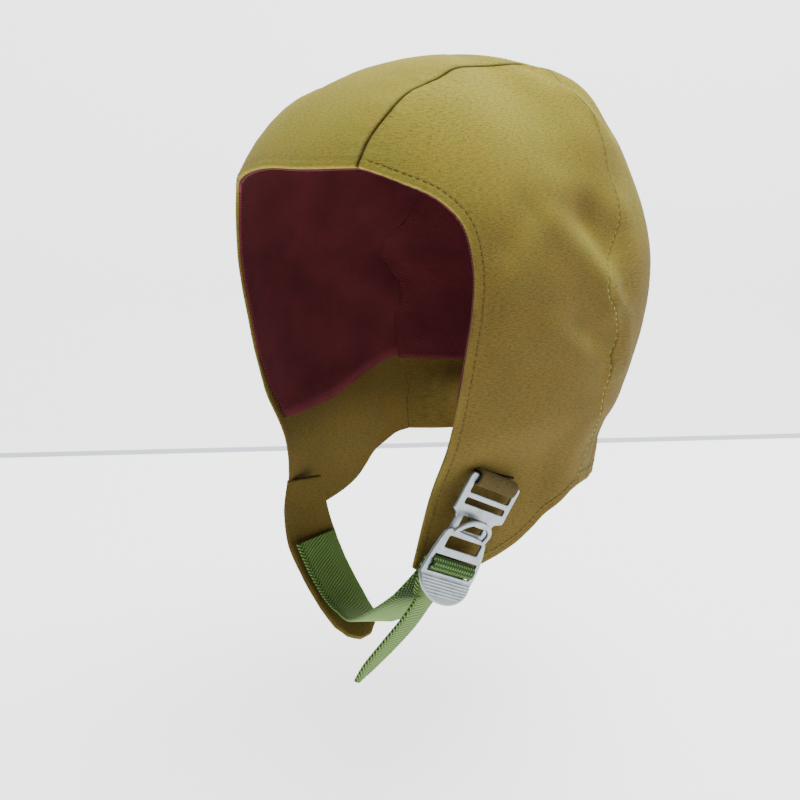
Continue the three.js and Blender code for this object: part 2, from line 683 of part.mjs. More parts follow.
// The strap's end lies along the inner face of the chin tab, a gap clear of it
function stitchedMiddle(i) {
  const point = (row) => new THREE.Vector3(row.x, row.y, row.z);
  const along = point(TAB_ROUTE[i + 1]).sub(point(TAB_ROUTE[i - 1]));
  const face = TAB_ACROSS.clone().cross(along).normalize();
  const lift = (TAB_THICK + WEBBING_THICK) / 2 + STITCH_GAP;
  return point(TAB_ROUTE[i]).addScaledVector(face, Math.sign(face.x) * lift);
}

function chinStrap() {
  const half = WEBBING_WIDTH / 2;
  const sewn = TAB_STITCHED.map((i) => ({
    middle: stitchedMiddle(i), across: TAB_ACROSS, half,
  }));
  const wrap = BAR_WRAP.map((row) => ({
    middle: new THREE.Vector3(0, row.height, row.lift).applyMatrix4(LOWER_FRAME),
    across: PLATE_ACROSS, half: BAR_HALF,
  }));
  const chin = CHIN_RUN.map((row) => ({
    middle: new THREE.Vector3(row.x, row.y, row.z), across: CHIN_ACROSS, half,
  }));
  const free = FREE_END.map((row) => ({
    middle: new THREE.Vector3(row.x, row.y, row.z), across: FREE_ACROSS, half: row.half,
  }));
  const rows = [...sewn, ...chin, ...wrap, ...free];
  return bandGeometry(stationsThrough(rows, STRAP_STEPS), WEBBING_THICK);
}

// The canvas loop that comes out of the slit and goes round the upper buckle's top bar
const LOOP_WALL = 1.3;
const LOOP_WIDTH = 24;
const LOOP_MIDDLE = 0.5;
const LOOP_ROUTE = [
  { height: 2.2, lift: -5 },
  { height: 2.8, lift: -3 },
  { height: 3.1, lift: -1.2 },
  { height: 2.9, lift: 0.7 },
  { height: 1.6, lift: 1.95 },
  { height: -0.8, lift: 2.05 },
  { height: -2.4, lift: 1.4 },
  { height: -2.9, lift: -0.2 },
  { height: -2, lift: -1.8 },
  { height: 0, lift: -2.3 },
];

function buckleTab() {
  const rows = LOOP_ROUTE.map((row) => ({
    middle: new THREE.Vector3(LOOP_MIDDLE, row.height, row.lift).applyMatrix4(UPPER_FRAME),
    across: PLATE_ACROSS, half: LOOP_WIDTH / 2,
  }));
  return bandGeometry(stationsThrough(rows, LOOP_STEPS), LOOP_WALL);
}

// Slit in the left flap that the loop comes out of
const SLIT = { length: 26, height: 3.8, middle: 2.1, depth: 7 };

function slitCutter() {
  const box = new THREE.BoxGeometry(SLIT.length, SLIT.height, SLIT.depth);
  return box.translate(LOOP_MIDDLE, SLIT.middle, -UPPER_LIFT).applyMatrix4(UPPER_FRAME);
}

// The lining stops short of the bottom hem, which is turned up and faced with canvas
const HEM_ROWS = 3;

function linedRows(grid) {
  return grid.slice(0, grid.length - HEM_ROWS);
}

const CANVAS = { color: 0x8f7b3e, roughness: 0.9, metalness: 0 };
const LINING = { color: 0x6e2a2c, roughness: 0.9, metalness: 0 };
const WEBBING = { color: 0x5f7a45, roughness: 0.85, metalness: 0 };
const STEEL = { color: 0xb4bac0, roughness: 0.35, metalness: 1 };

const helmet = new THREE.Group();

function addPiece(name, geometry, look) {
  const mesh = new THREE.Mesh(geometry, new THREE.MeshStandardMaterial(look));
  mesh.name = name;
  helmet.add(mesh);
}

const leftGrid = sideDirections(LEFT_SIDE);
const rightGrid = sideDirections(RIGHT_SIDE);
const centreGrid = centreDirections();
const liningTop = CANVAS_WALL + PIECE_GAP;
const liningBottom = liningTop + LINING_WALL;
const leftWall = wallGeometry(leftGrid, 0, CANVAS_WALL);
const rightWall = mirrorGeometry(wallGeometry(rightGrid, 0, CANVAS_WALL));
const leftLining = wallGeometry(linedRows(leftGrid), liningTop, liningBottom);
const rightLining = mirrorGeometry(wallGeometry(linedRows(rightGrid), liningTop, liningBottom));
const slitPanel = solidOf(leftWall).subtract(solidOf(slitCutter()));
const tabbedPanel = solidOf(rightWall).add(solidOf(chinTab()));

addPiece('center_panel', wallGeometry(centreGrid, 0, CANVAS_WALL), CANVAS);
addPiece('left_side_panel', geometryOf(slitPanel), CANVAS);
addPiece('right_side_panel', geometryOf(tabbedPanel), CANVAS);
addPiece('center_lining', wallGeometry(linedRows(centreGrid), liningTop, liningBottom), LINING);
addPiece('left_lining', leftLining, LINING);
addPiece('right_lining', rightLining, LINING);
addPiece('buckle_tab', buckleTab(), CANVAS);
addPiece('upper_buckle', upperBuckle(), STEEL);
addPiece('lower_buckle', lowerBuckle(), STEEL);
addPiece('chin_strap', chinStrap(), WEBBING);

export default helmet;
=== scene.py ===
import math

import bmesh
import bpy
import numpy as np
from mathutils import Matrix, Vector


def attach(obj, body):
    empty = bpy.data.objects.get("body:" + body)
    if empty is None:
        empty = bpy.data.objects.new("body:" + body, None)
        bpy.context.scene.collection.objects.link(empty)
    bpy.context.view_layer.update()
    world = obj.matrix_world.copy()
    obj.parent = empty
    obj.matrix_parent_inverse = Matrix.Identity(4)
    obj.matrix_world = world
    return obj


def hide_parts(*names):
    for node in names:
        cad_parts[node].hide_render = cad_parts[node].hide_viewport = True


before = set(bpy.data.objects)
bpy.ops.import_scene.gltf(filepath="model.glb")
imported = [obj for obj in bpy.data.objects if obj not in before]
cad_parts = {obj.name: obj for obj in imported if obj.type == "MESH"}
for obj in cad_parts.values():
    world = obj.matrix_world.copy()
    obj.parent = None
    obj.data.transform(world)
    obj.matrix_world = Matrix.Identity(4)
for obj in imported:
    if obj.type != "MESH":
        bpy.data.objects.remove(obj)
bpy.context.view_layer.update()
MM = 0.001

# Camera: lens and film in mm at the photo's angle, and the picture's size in pixels
CAMERA_LENS = 50
CAMERA_FILM = 36
PICTURE_SIZE = 800
CAMERA_AZIMUTH = 48.0
CAMERA_DISTANCE = 525 * MM
CAMERA_HEIGHT = -15 * MM
CAMERA_PITCH = 15.3
CAMERA_PAN = 2.38

# Studio: the floor's rear edge at two places in the picture, and the floor and the line behind it
# as near and far depth from that edge, drop, glow and two shades, all lengths in mm
FLOOR_HEIGHT = -322 * MM
FLOOR_HALF = 1500 * MM
FLOOR_EDGE = ((0, 458), (800, 438))
FLOOR_SHEETS = {
    "studio_floor": (-1600, 0, 0, 2.1, (0.88, 0.885, 0.9), (0.91, 0.915, 0.93)),
    "floor_edge_line": (0, 15, 0.2, 0.5, (0.42, 0.46, 0.54), (0.48, 0.52, 0.6)),
}
FLOOR_LIGHT = (0.8, 0.81, 0.83)
BACKDROP = {"away": 1.3, "half": 1.9, "low": -0.75, "high": 1.9, "glow": 3.1}
BACKDROP_SHADES = ((0.79, 0.80, 0.805), (0.81, 0.82, 0.825))
WORLD_COLOUR = (0.80, 0.81, 0.815, 1)
WORLD_STRENGTH = 0.5

# Soft lights as place, size and power, all aimed at one target
SOFTBOXES = {
    "top_softbox": ((0.15, 0.2, 0.9), 0.9, 18),
    "rear_softbox": ((0.7, 0.9, 0.4), 0.6, 4),
}
LIGHT_TARGET = (0, 0, -0.1)

# The hood, as its solids have it: the head's centre and the walls' depths under the outside
HEAD_CENTRE = np.array([0, 0, -103]) * MM
CANVAS_WALL = 1.6 * MM
LINING_TOP = 1.75 * MM
LINING_BOTTOM = 3.0 * MM
SEAM_GAP = 0.12 * MM
SIDE_LINED = 16 / 19
CENTRE_LINED = 24 / 27
LINING_INSET = 3.2 * MM
INSET_SPAN = (0.66, 0.82)
LINING_WAVE = 0.25 * MM

# Outside of the hood: elevation, then the distance from the head centre in mm at the front, the
# front quarter, the side, the rear quarter and the back
SECTIONS = [
    (-70, 242, 183, 148, 162, 169),
    (-50, 145, 117, 102, 111, 113),
    (-30, 117, 102, 90, 98, 105),
    (-10, 104, 97, 83, 94, 107),
    (10, 105, 101, 82, 95, 108),
    (30, 109, 107, 84, 97, 109),
    (50, 109, 109, 94, 106, 104),
    (70, 107, 106, 101, 107.5, 106),
    (90, 106, 106, 106, 106, 106),
]

# The left seam from the front hem over the crown to the nape: heading, elevation and the angle
# of the middle line beside it, from straight ahead over the crown and down the back
SEAM = [
    (25.5, 33.9, 33.3), (26.5, 40, 41), (30, 48, 50), (33.5, 56, 60), (40, 62, 68),
    (54, 71.5, 78), (83, 77.3, 89), (112, 74.5, 99), (128, 71.5, 106), (134, 67.3, 112),
    (128, 62.8, 118), (122.5, 57.8, 124), (123, 52, 131), (122.2, 46, 137.5),
    (120.4, 38.5, 144.5), (120.7, 30.5, 152), (119.5, 23.5, 158.5), (113.5, 16.3, 165),
    (106.5, 10, 171), (105.4, 4.5, 176.5), (110.3, -2.8, 183.5), (114, -10, 190),
    (111.2, -17.5, 197), (111, -25.5, 204), (112.6, -33.5, 210.5), (115.7, -41, 216.5),
    (114.2, -47.3, 221), (114.7, -52.7, 225.5),
]
SEAM_KEY = 8 / 27

# The face opening's edge on the left and the bottom hem: heading and elevation
OPENING_EDGE = [
    (25.5, 33.9), (37, 31.1), (46.4, 28), (52.3, 23), (54.8, 14), (54.8, 4.5), (53.5, -7),
    (51.5, -21.2), (48.3, -35.2), (43.2, -46.8), (38.4, -54.6),
]

# The hood sits a little askew: on the right the seam's front stretch lies wider and lower, and
# the opening's edge further forward
RIGHT_SEAM = [
    (29, 28, 33.3), (29.5, 35.5, 41), (31.5, 45, 50), (34.5, 54, 60), (41, 61.5, 68), *SEAM[5:],
]
RIGHT_OPENING_EDGE = [
    (29, 28), (33.5, 26.7), (37.5, 24.6), (40.5, 20.5), (42.7, 13), (43.8, 4.2), (43.8, -8.3),
    (43.3, -21.2), (43.3, -35.5), (41.5, -47.2), (38.4, -54.6),
]
BOTTOM_HEM = [
    (38.4, -54.6), (44, -57), (53, -59.5), (63, -61), (72, -61.5), (81, -60.9), (88, -59.3),
    (94.5, -57.1), (101.5, -55.3), (108.5, -53.5), (114.7, -52.7),
]

# Folds: the directions each runs along, its width in degrees and its height in mm
MAIN_FOLDS = [
    (((71, 28), (64, 19)), 5, -1.2),
    (((86, 36), (104, 34), (121, 27)), 6, 1.6),
    (((103, 26), (110, 16)), 6, -2.2),
    (((84, 26), (97, 16), (108, 3)), 6, 1.8),
    (((112, -1), (119, -6), (122, -18)), 5, 1.3),
    (((92, -4), (108, -14)), 6, -1.9),
    (((80, -5), (96, -14), (112, -19)), 6, 1.5),
    (((118, 18), (117, 4)), 5, -1),
    (((118, 65), (146, 57)), 8, 2.8),
    (((121, 61), (124, 51)), 2.5, 1),
    (((124, 68), (120, 64)), 4, -2),
    (((128, 60), (138, 46)), 3.5, -2.2),
    (((30, 57), (42, 63)), 5, -1.4),
    (((104, -42), (102, -52)), 6, 1.4),
]
FINE_FOLDS = [
    (((119, 26), (112, 23)), 2.4, -0.5),
    (((121, 33), (114, 37)), 2.4, 0.5),
    (((106, 8), (99, 12)), 2.2, 0.45),
    (((107, 2), (100, -2)), 2.4, -0.5),
    (((111, -16), (106, -14.5), (100, -11)), 1.8, -0.9),
    (((111, -19), (104, -17)), 2, 0.5),
    (((111, -27), (102, -25)), 2.6, -0.5),
    (((113, -34), (104, -36)), 2.4, 0.5),
    (((66, 25), (78, 31)), 3, 0.5),
    (((62, -20), (76, -26)), 4, -0.5),
    (((88, -44), (94, -54)), 3, -0.6),
    (((32, 60), (22, 64)), 3, -0.5),
    (((58, 73), (52, 66)), 3, 0.5),
    (((45, 67), (36, 66)), 2.6, -0.5),
    (((120, 70), (110, 64)), 3, -0.4),
    (((134, 56), (146, 52)), 3.5, 0.5),
    (((123, 36), (134, 33)), 3, -0.5),
    (((109, 2), (122, 5)), 3, -0.4),
    (((112, -22), (124, -20)), 3, 0.5),
    (((116, -42), (126, -37)), 2.2, -0.7),
    (((115, -46), (126, -46)), 2, 0.6),
]
NAPE_GATHER = {"from": 118, "full": 142, "elevation": -41, "spread": 5, "depth": 3}
NAPE_FLARE = {"elevation": -50, "spread": 6, "height": 3.5}
GATHER_RIPPLES = {
    "from": 110, "full": 136, "count": 44, "height": 0.7, "elevation": -43, "spread": 7,
    "sway": 3, "sways": 5,
}

# Sewing in mm: how far in the stitches lie, then each kind's pitch, length and thickness
HEM_STITCH = 3.4
HEM_FOLD = 5.8
REAR_STITCH = 0.75
FRONT_STITCH = 2.3
CENTRE_HEM_ROWS = (0.0145, 0.981)
HEM_STITCHES = (2.9, 1.9, 0.34)
SEAM_STITCHES = (3.4, 1.7, 0.42)
TOP_STITCHES = (3.0, 2.0, 0.28)
STITCH_JITTER = 0.06
STITCH_LIFT = 0.25

# Relief of the cloth in mm: slack as size and height, turned-down edges as reach and depth, the
# step and groove of a hem, the swell beside a seam, and the puckers along both
SLACK = ((26, 0.3), (11, 0.12), (5, 0.04))
FINE_SHARE = 0.8
HEM_EDGE = (1.0, 0.85)
FRONT_CREASE = (1.5, 1.15)
REAR_CREASE = (0.9, 0.8)
HEM_STEP = 0.28
HEM_GROOVE = 0.75
SEAM_SWELL = {"height": 0.16, "middle": 1.5, "spread": 1.2}
HEM_PUCKER = {"height": 0.08, "pace": 0.75, "sway": 2.2, "slow": 0.13, "fade": 6.5, "clear": 2.5}
SEAM_PUCKER = {"height": 0.16, "pace": 0.62, "sway": 2.6, "slow": 0.11, "fade": 8, "clear": 3}

# How far in mm the paler wear and the painted shade in the front seams reach
WEAR_REACH = 1.3
SEAM_SHADE_REACH = 1.0

# Fineness of the meshes, the noise's lattice and how many points are measured at once
SIDE_GRID = (150, 170)
CENTRE_GRID = (100, 300)
LINING_STEP = 3
EDGE_POINTS = 900
HEM_POINTS = 600
NOISE_CELLS = 32
BATCH = 4000


def unit(vectors):
    return vectors / np.linalg.norm(vectors, axis=-1, keepdims=True)


def direction(heading, elevation):
    h = np.radians(heading)
    e = np.radians(elevation)
    flat = np.cos(e)
    return np.stack([np.sin(h) * flat, -np.cos(h) * flat, np.sin(e) + 0 * h], axis=-1)


def smooth_step(low, high, value):
    t = np.clip((value - low) / (high - low), 0, 1)
    return t * t * (3 - 2 * t)


def bell(offset, width):
    return np.exp(-((offset / width) ** 2))


def eased(t, rise, start, end):
    """A cubic's gain at t on its way from 0 to the rise, with the slopes at its two ends."""
    return t * (start + t * (3 * rise - 2 * start - end + t * (start + end - 2 * rise)))


def run_lengths(points):
    """The length along a line of points up to each of them."""
    return np.append(0, np.cumsum(np.linalg.norm(np.diff(points, axis=0), axis=1)))


def at_places(spots, places, rows):
    """Rows of three values, given at places and read at spots between them."""
    return np.stack([np.interp(spots, places, column) for column in np.transpose(rows)], axis=1)


def aim_angles(aims):
    """Elevation, and heading from straight ahead to either side, in degrees."""
    elevation = np.degrees(np.arcsin(np.clip(aims[..., 2], -1, 1)))
    return elevation, np.degrees(np.arctan2(np.abs(aims[..., 0]), -aims[..., 1]))


def section_series():
    """Cosine series through the five headings of each section, and the sections' elevations."""
    table = np.array(SECTIONS, float)
    orders = np.arange(table.shape[1] - 1)
    share = np.ones(len(orders))
    share[[0, -1]] = 0.5
    waves = np.cos(np.pi * np.outer(orders, orders) / orders[-1])
    series = (table[:, 1:] * share) @ waves * (2 / orders[-1]) * share
    return table[:, 0], series


ELEVATIONS, SERIES = section_series()
SLOPES = np.empty_like(SERIES)
SLOPES[1:-1] = (SERIES[2:] - SERIES[:-2]) / (ELEVATIONS[2:] - ELEVATIONS[:-2])[:, None]
SLOPES[0] = (SERIES[1] - SERIES[0]) / (ELEVATIONS[1] - ELEVATIONS[0])
SLOPES[-1] = (SERIES[-1] - SERIES[-2]) / (ELEVATIONS[-1] - ELEVATIONS[-2])


def fold_height(folds, aims):
    """Summed height in mm of rounded ridges and valleys that die away to their sides and ends.

    They are the same on both sides of the hood."""
    aims = np.stack([np.abs(aims[..., 0]), aims[..., 1], aims[..., 2]], axis=-1)
    total = np.zeros(aims.shape[:-1])
    for along, width, height in folds:
        nearest = np.full(aims.shape[:-1], np.inf)
        for start, end in zip(along, along[1:]):
            a = direction(*start)
            run = direction(*end) - a
            share = np.clip((aims - a) @ run / (run @ run), 0, 1)
            spot = a + share[..., None] * run
            nearest = np.minimum(nearest, np.linalg.norm(aims - spot, axis=-1))
        total += height * bell(np.degrees(nearest), width)
    return total


def outer_radius(aims):
    """Distance in metres from the head centre to the hood's outside, as the solids have it."""
    elevation, heading = aim_angles(aims)
    low = np.clip(np.searchsorted(ELEVATIONS, elevation, side="right") - 1, 0, len(ELEVATIONS) - 2)
    step = (ELEVATIONS[low + 1] - ELEVATIONS[low])[..., None]
    t = (elevation - ELEVATIONS[low])[..., None] / step
    rise = SERIES[low + 1] - SERIES[low]
    series = SERIES[low] + eased(t, rise, SLOPES[low] * step, SLOPES[low + 1] * step)
    turns = np.radians(heading)[..., None] * np.arange(SERIES.shape[1])
    radius = np.sum(series * np.cos(turns), axis=-1) + fold_height(MAIN_FOLDS, aims)
    behind = smooth_step(NAPE_GATHER["from"], NAPE_GATHER["full"], heading)
    gather = bell(elevation - NAPE_GATHER["elevation"], NAPE_GATHER["spread"])
    flare = bell(elevation - NAPE_FLARE["elevation"], NAPE_FLARE["spread"])
    radius += behind * (NAPE_FLARE["height"] * flare - NAPE_GATHER["depth"] * gather)
    return radius * MM


def on_surface(aims):
    aims = unit(aims)
    return HEAD_CENTRE + aims * outer_radius(aims)[..., None]


def curve_points(points, places):
    """Points at places from 0 to 1 on a centripetal curve through the given points."""
    points = np.asarray(points, float)
    padded = np.vstack([2 * points[0] - points[1], points, 2 * points[-1] - points[-2]])
    spot = np.clip(places, 0, 1) * (len(points) - 1)
    low = np.minimum(spot.astype(int), len(points) - 2)
    t = (spot - low)[:, None]
    x0, x1, x2, x3 = (padded[low + k] for k in range(4))
    d0, d1, d2 = (
        np.sqrt(np.linalg.norm(q - p, axis=1))[:, None] for p, q in ((x0, x1), (x1, x2), (x2, x3))
    )
    a = ((x1 - x0) / d0 - (x2 - x0) / (d0 + d1) + (x2 - x1) / d1) * d1
    b = ((x2 - x1) / d1 - (x3 - x1) / (d1 + d2) + (x3 - x2) / d2) * d1
    return x1 + eased(t, x2 - x1, a, b)


def aim_curve(rows, places, offset=0.0):
    """Directions along an edge curve, moved sideways by offset metres across the surface."""
    points = [direction(row[0], row[1]) for row in rows]
    aims = unit(curve_points(points, places))
    step = 1e-3
    ahead = curve_points(points, np.minimum(places + step, 1))
    behind = curve_points(points, np.maximum(places - step, 0))
    away = unit(np.cross(ahead - behind, aims))
    return unit(aims + away * (offset / outer_radius(aims))[:, None])


def surface_normals(aims):
    """Outward normals of the plain form at single directions."""
    first = unit(np.cross([0, 0, 1], aims))
    second = np.cross(aims, first)
    step = 0.004
    across = on_surface(aims + first * step) - on_surface(aims - first * step)
    up = on_surface(aims + second * step) - on_surface(aims - second * step)
    return unit(np.cross(across, up))


def packed_ends(count, tightness=0.7):
    """Places from 0 to 1 that lie closer together near both ends."""
    t = np.linspace(0, 1, count + 1)
    return t - tightness * np.sin(2 * np.pi * t) / (2 * np.pi)


def side_aims(seam, opening, inset=0.0):
    """Directions over a side panel as if on the left, rows from the top seam to the bottom hem."""
    u = packed_ends(SIDE_GRID[0])
    v = packed_ends(SIDE_GRID[1])
    top = aim_curve(seam, u * SEAM_KEY, SEAM_GAP / 2)
    right = aim_curve(seam, SEAM_KEY + v * (1 - SEAM_KEY), SEAM_GAP / 2)
    left = aim_curve(opening, v, -inset * smooth_step(*INSET_SPAN, v))
    bottom = aim_curve(BOTTOM_HEM, u)
    left[0] = top[0]
    left[-1] = bottom[0]
    bottom[-1] = right[-1]
    uu = u[None, :, None]
    vv = v[:, None, None]
    grid = top[None] * (1 - vv) + bottom[None] * vv + left[:, None] * (1 - uu) + right[:, None] * uu
    grid -= top[0] * (1 - uu) * (1 - vv) + top[-1] * uu * (1 - vv)
    grid -= bottom[0] * (1 - uu) * vv + bottom[-1] * uu * vv
    return unit(grid)


def centre_places():
    """Places along the seams that are even by length down the middle line."""
    fine = np.linspace(0, 1, 3000)
    middle = curve_points([direction(0, row[2]) for row in SEAM], fine)
    length = run_lengths(middle)
    return np.interp(packed_ends(CENTRE_GRID[1], 0.5), length / length[-1], fine)


def centre_aims(places, across):
    """Directions over the centre panel, from its left edge at 1 across to its right edge at -1."""
    middle = unit(curve_points([direction(0, row[2]) for row in SEAM], places))
    parts = []
    for seam, share in ((SEAM, across[across >= 0]), (RIGHT_SEAM, across[across < 0])):
        edge = aim_curve(seam, places, -SEAM_GAP / 2)
        bow = share * share
        x = edge[:, :1] * share
        y = middle[:, 1:2] + (edge[:, 1:2] - middle[:, 1:2]) * bow
        z = middle[:, 2:3] + (edge[:, 2:3] - middle[:, 2:3]) * bow
        parts.append(np.stack([x, y, z], axis=-1))
    return unit(np.concatenate(parts, axis=1))


def grid_normals(points, aims):
    across = np.gradient(points, axis=1)
    down = np.gradient(points, axis=0)
    normals = np.cross(across, down)
    lengths = np.linalg.norm(normals, axis=-1, keepdims=True)
    normals = np.where(lengths > 1e-14, normals / np.maximum(lengths, 1e-14), aims)
    return np.where(np.sum(normals * aims, axis=-1, keepdims=True) < 0, -normals, normals)


def edge_distance(points, line):
    """Distance in mm from each grid point to a line of points, and the place along that line."""
    flat = points.reshape(-1, 3)
    along = run_lengths(line)
    found = np.zeros((2, len(flat)))
    for start in range(0, len(flat), BATCH):
        part = slice(start, start + BATCH)
        gaps = np.linalg.norm(flat[part, None] - line, axis=2)
        found[:, part] = gaps.min(axis=1), along[gaps.argmin(axis=1)]
    return found.reshape(2, *points.shape[:-1]) / MM


def value_noise(points, size, seed):
    """Smooth noise from -1 to 1 over space, with features of about the given size in mm."""
    lattice = np.random.default_rng(seed).uniform(-1, 1, (NOISE_CELLS,) * 3)
    spot = points / (size * MM) + 5 * NOISE_CELLS
    low = np.floor(spot).astype(int)
    t = smooth_step(0, 1, spot - low)
    total = np.zeros(points.shape[:-1])
    for corner in np.ndindex(2, 2, 2):
        share = np.prod(np.where(np.equal(corner, 1), t, 1 - t), axis=-1)
        total += share * lattice[tuple(np.moveaxis((low + corner) % NOISE_CELLS, -1, 0))]
    return total


def loose(points, seed, layer=0):
    """Height in mm of one layer of the cloth's slack."""
    size, height = SLACK[layer]
    return height * value_noise(points, size, seed)


def puckers(far, place, shape, shift=0):
    """Height in mm of small waves along an edge that die away from it."""
    wave = np.sin(place * shape["pace"] + shape["sway"] * np.sin(place * shape["slow"] + shift))
    near = np.exp(-far / shape["fade"]) * smooth_step(0, shape["clear"], far)
    return shape["height"] * wave * near


def cloth_relief(points, aims, hems, seams, seed):
    """Height in mm of sewn cloth over the plain form: slack, hems, seams and their puckers.

    The first half of the seams are the front ones, which have the deeper crease."""
    relief = FINE_SHARE * fold_height(FINE_FOLDS, aims) + nape_ripples(aims)
    relief += sum(loose(points, seed + k, k) for k in range(len(SLACK)))
    for line in hems:
        far, place = edge_distance(points, line)
        relief += HEM_STEP * (1 - smooth_step(HEM_STITCH, HEM_FOLD, far))
        relief -= HEM_STEP * bell(far - HEM_STITCH, HEM_GROOVE)
        relief += puckers(far, place, HEM_PUCKER) - rounded_edge(far, *HEM_EDGE)
    for k, line in enumerate(seams):
        far, place = edge_distance(points, line)
        relief += SEAM_SWELL["height"] * bell(far - SEAM_SWELL["middle"], SEAM_SWELL["spread"])
        crease = FRONT_CREASE if k < len(seams) / 2 else REAR_CREASE
        relief += puckers(far, place, SEAM_PUCKER, seed) - rounded_edge(far, *crease)
    return relief


def rounded_edge(far, reach, depth):
    """How far in mm the cloth turns down within reach of its edge."""
    inside = np.clip(1 - far / reach, 0, 1)
    return depth * (1 - np.sqrt(np.clip(1 - inside * inside, 0, 1)))


def nape_ripples(aims):
    g = GATHER_RIPPLES
    elevation, heading = aim_angles(aims)
    sway = g["sway"] * np.sin(np.radians(heading * g["sways"])) * np.sign(aims[..., 0])
    wave = np.sin(np.radians((heading + sway) * g["count"]))
    behind = smooth_step(g["from"], g["full"], heading)
    return g["height"] * wave * behind * bell(elevation - g["elevation"], g["spread"])


def link(obj):
    bpy.context.scene.collection.objects.link(obj)
    return obj


def set_smooth(mesh, smooth=True):
    mesh.polygons.foreach_set("use_smooth", [smooth] * len(mesh.polygons))


def mesh_object(name, points, faces, smooth=True):
    mesh = bpy.data.meshes.new(name)
    mesh.from_pydata([tuple(p) for p in points], [], [tuple(f) for f in faces])
    mesh.validate()
    set_smooth(mesh, smooth)
    mesh.update()
    return link(bpy.data.objects.new(name, mesh))


def turn_faces_out(mesh, merge=0):
    """Turn a mesh's faces outward, after merging its points that lie closer than that."""
    bm = bmesh.new()
    bm.from_mesh(mesh)
    if merge:
        bmesh.ops.remove_doubles(bm, verts=bm.verts, dist=merge)
    bmesh.ops.recalc_face_normals(bm, faces=bm.faces)
    bm.to_mesh(mesh)
    bm.free()


def tube_faces(rings, ring, first=0):
    """Faces of a tube made of rings of points, closed at both ends."""
    last = first + (rings - 1) * ring
    faces = []
    for base in range(first, last, ring):
        for k in range(ring):
            n = (k + 1) % ring
            faces.append((base + k, base + n, base + ring + n, base + ring + k))
    return [*faces, range(first + ring - 1, first - 1, -1), range(last, last + ring)]


def wall_object(name, outer, inner, uv, mirrored=False):
    """A closed wall between two grids of points, with a UV map in metres."""
    if mirrored:
        outer, inner, uv = mirror_x(outer)[:, ::-1], mirror_x(inner)[:, ::-1], uv[:, ::-1]
    rows, columns = outer.shape[:2]
    count = rows * columns
    j, i = np.meshgrid(np.arange(rows - 1), np.arange(columns - 1), indexing="ij")
    first = (j * columns + i).ravel()
    quads = np.stack([first, first + columns, first + columns + 1, first + 1], axis=1)
    ring = np.concatenate([
        np.arange(columns),
        columns * np.arange(1, rows) + columns - 1,
        (rows - 1) * columns + np.arange(columns - 2, -1, -1),
        columns * np.arange(rows - 2, 0, -1),
    ])
    after = np.roll(ring, -1)
    rim = np.stack([ring, after, after + count, ring + count], axis=1)
    points = np.concatenate([outer.reshape(-1, 3), inner.reshape(-1, 3)])
    obj = mesh_object(name, points, np.concatenate([quads, quads[:, ::-1] + count, rim]))
    layer = obj.data.uv_layers.new(name="cloth")
    corners = np.zeros(len(obj.data.loops), int)
    obj.data.loops.foreach_get("vertex_index", corners)
    layer.data.foreach_set("uv", np.tile(uv.reshape(-1, 2), (2, 1))[corners].ravel())
    return obj


def set_value(obj, name, values):
    field = obj.data.attributes.new(name, "FLOAT", "POINT")
    field.data.foreach_set("value", np.asarray(values, np.float32).ravel())


def mirror_x(points):
    return points * np.array([-1, 1, 1])


def finish_piece(obj, material, slot, *nodes):
    obj.data.materials.clear()
    obj.data.materials.append(material)
    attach(obj, "root")
    if nodes:
        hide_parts(*nodes)
    return obj


def camera_ways():
    """The camera's place over the ground, and the level ways ahead of it and to its right."""
    around = math.radians(CAMERA_AZIMUTH)
    turn = math.radians(CAMERA_AZIMUTH + CAMERA_PAN)
    eye = np.array([math.sin(around), -math.cos(around)]) * CAMERA_DISTANCE
    forward = np.array([-math.sin(turn), math.cos(turn)])
    return eye, forward, np.array([math.cos(turn), math.sin(turn)])


def add_camera():
    camera = bpy.data.cameras.new("photo_camera")
    camera.lens = CAMERA_LENS
    camera.sensor_width = CAMERA_FILM
    camera.clip_start = 0.01
    obj = link(bpy.data.objects.new("photo_camera", camera))
    obj.location = (*camera_ways()[0], CAMERA_HEIGHT)
    obj.rotation_euler = (
        math.radians(90 - CAMERA_PITCH), 0, math.radians(CAMERA_AZIMUTH + CAMERA_PAN),
    )
    bpy.context.scene.camera = obj


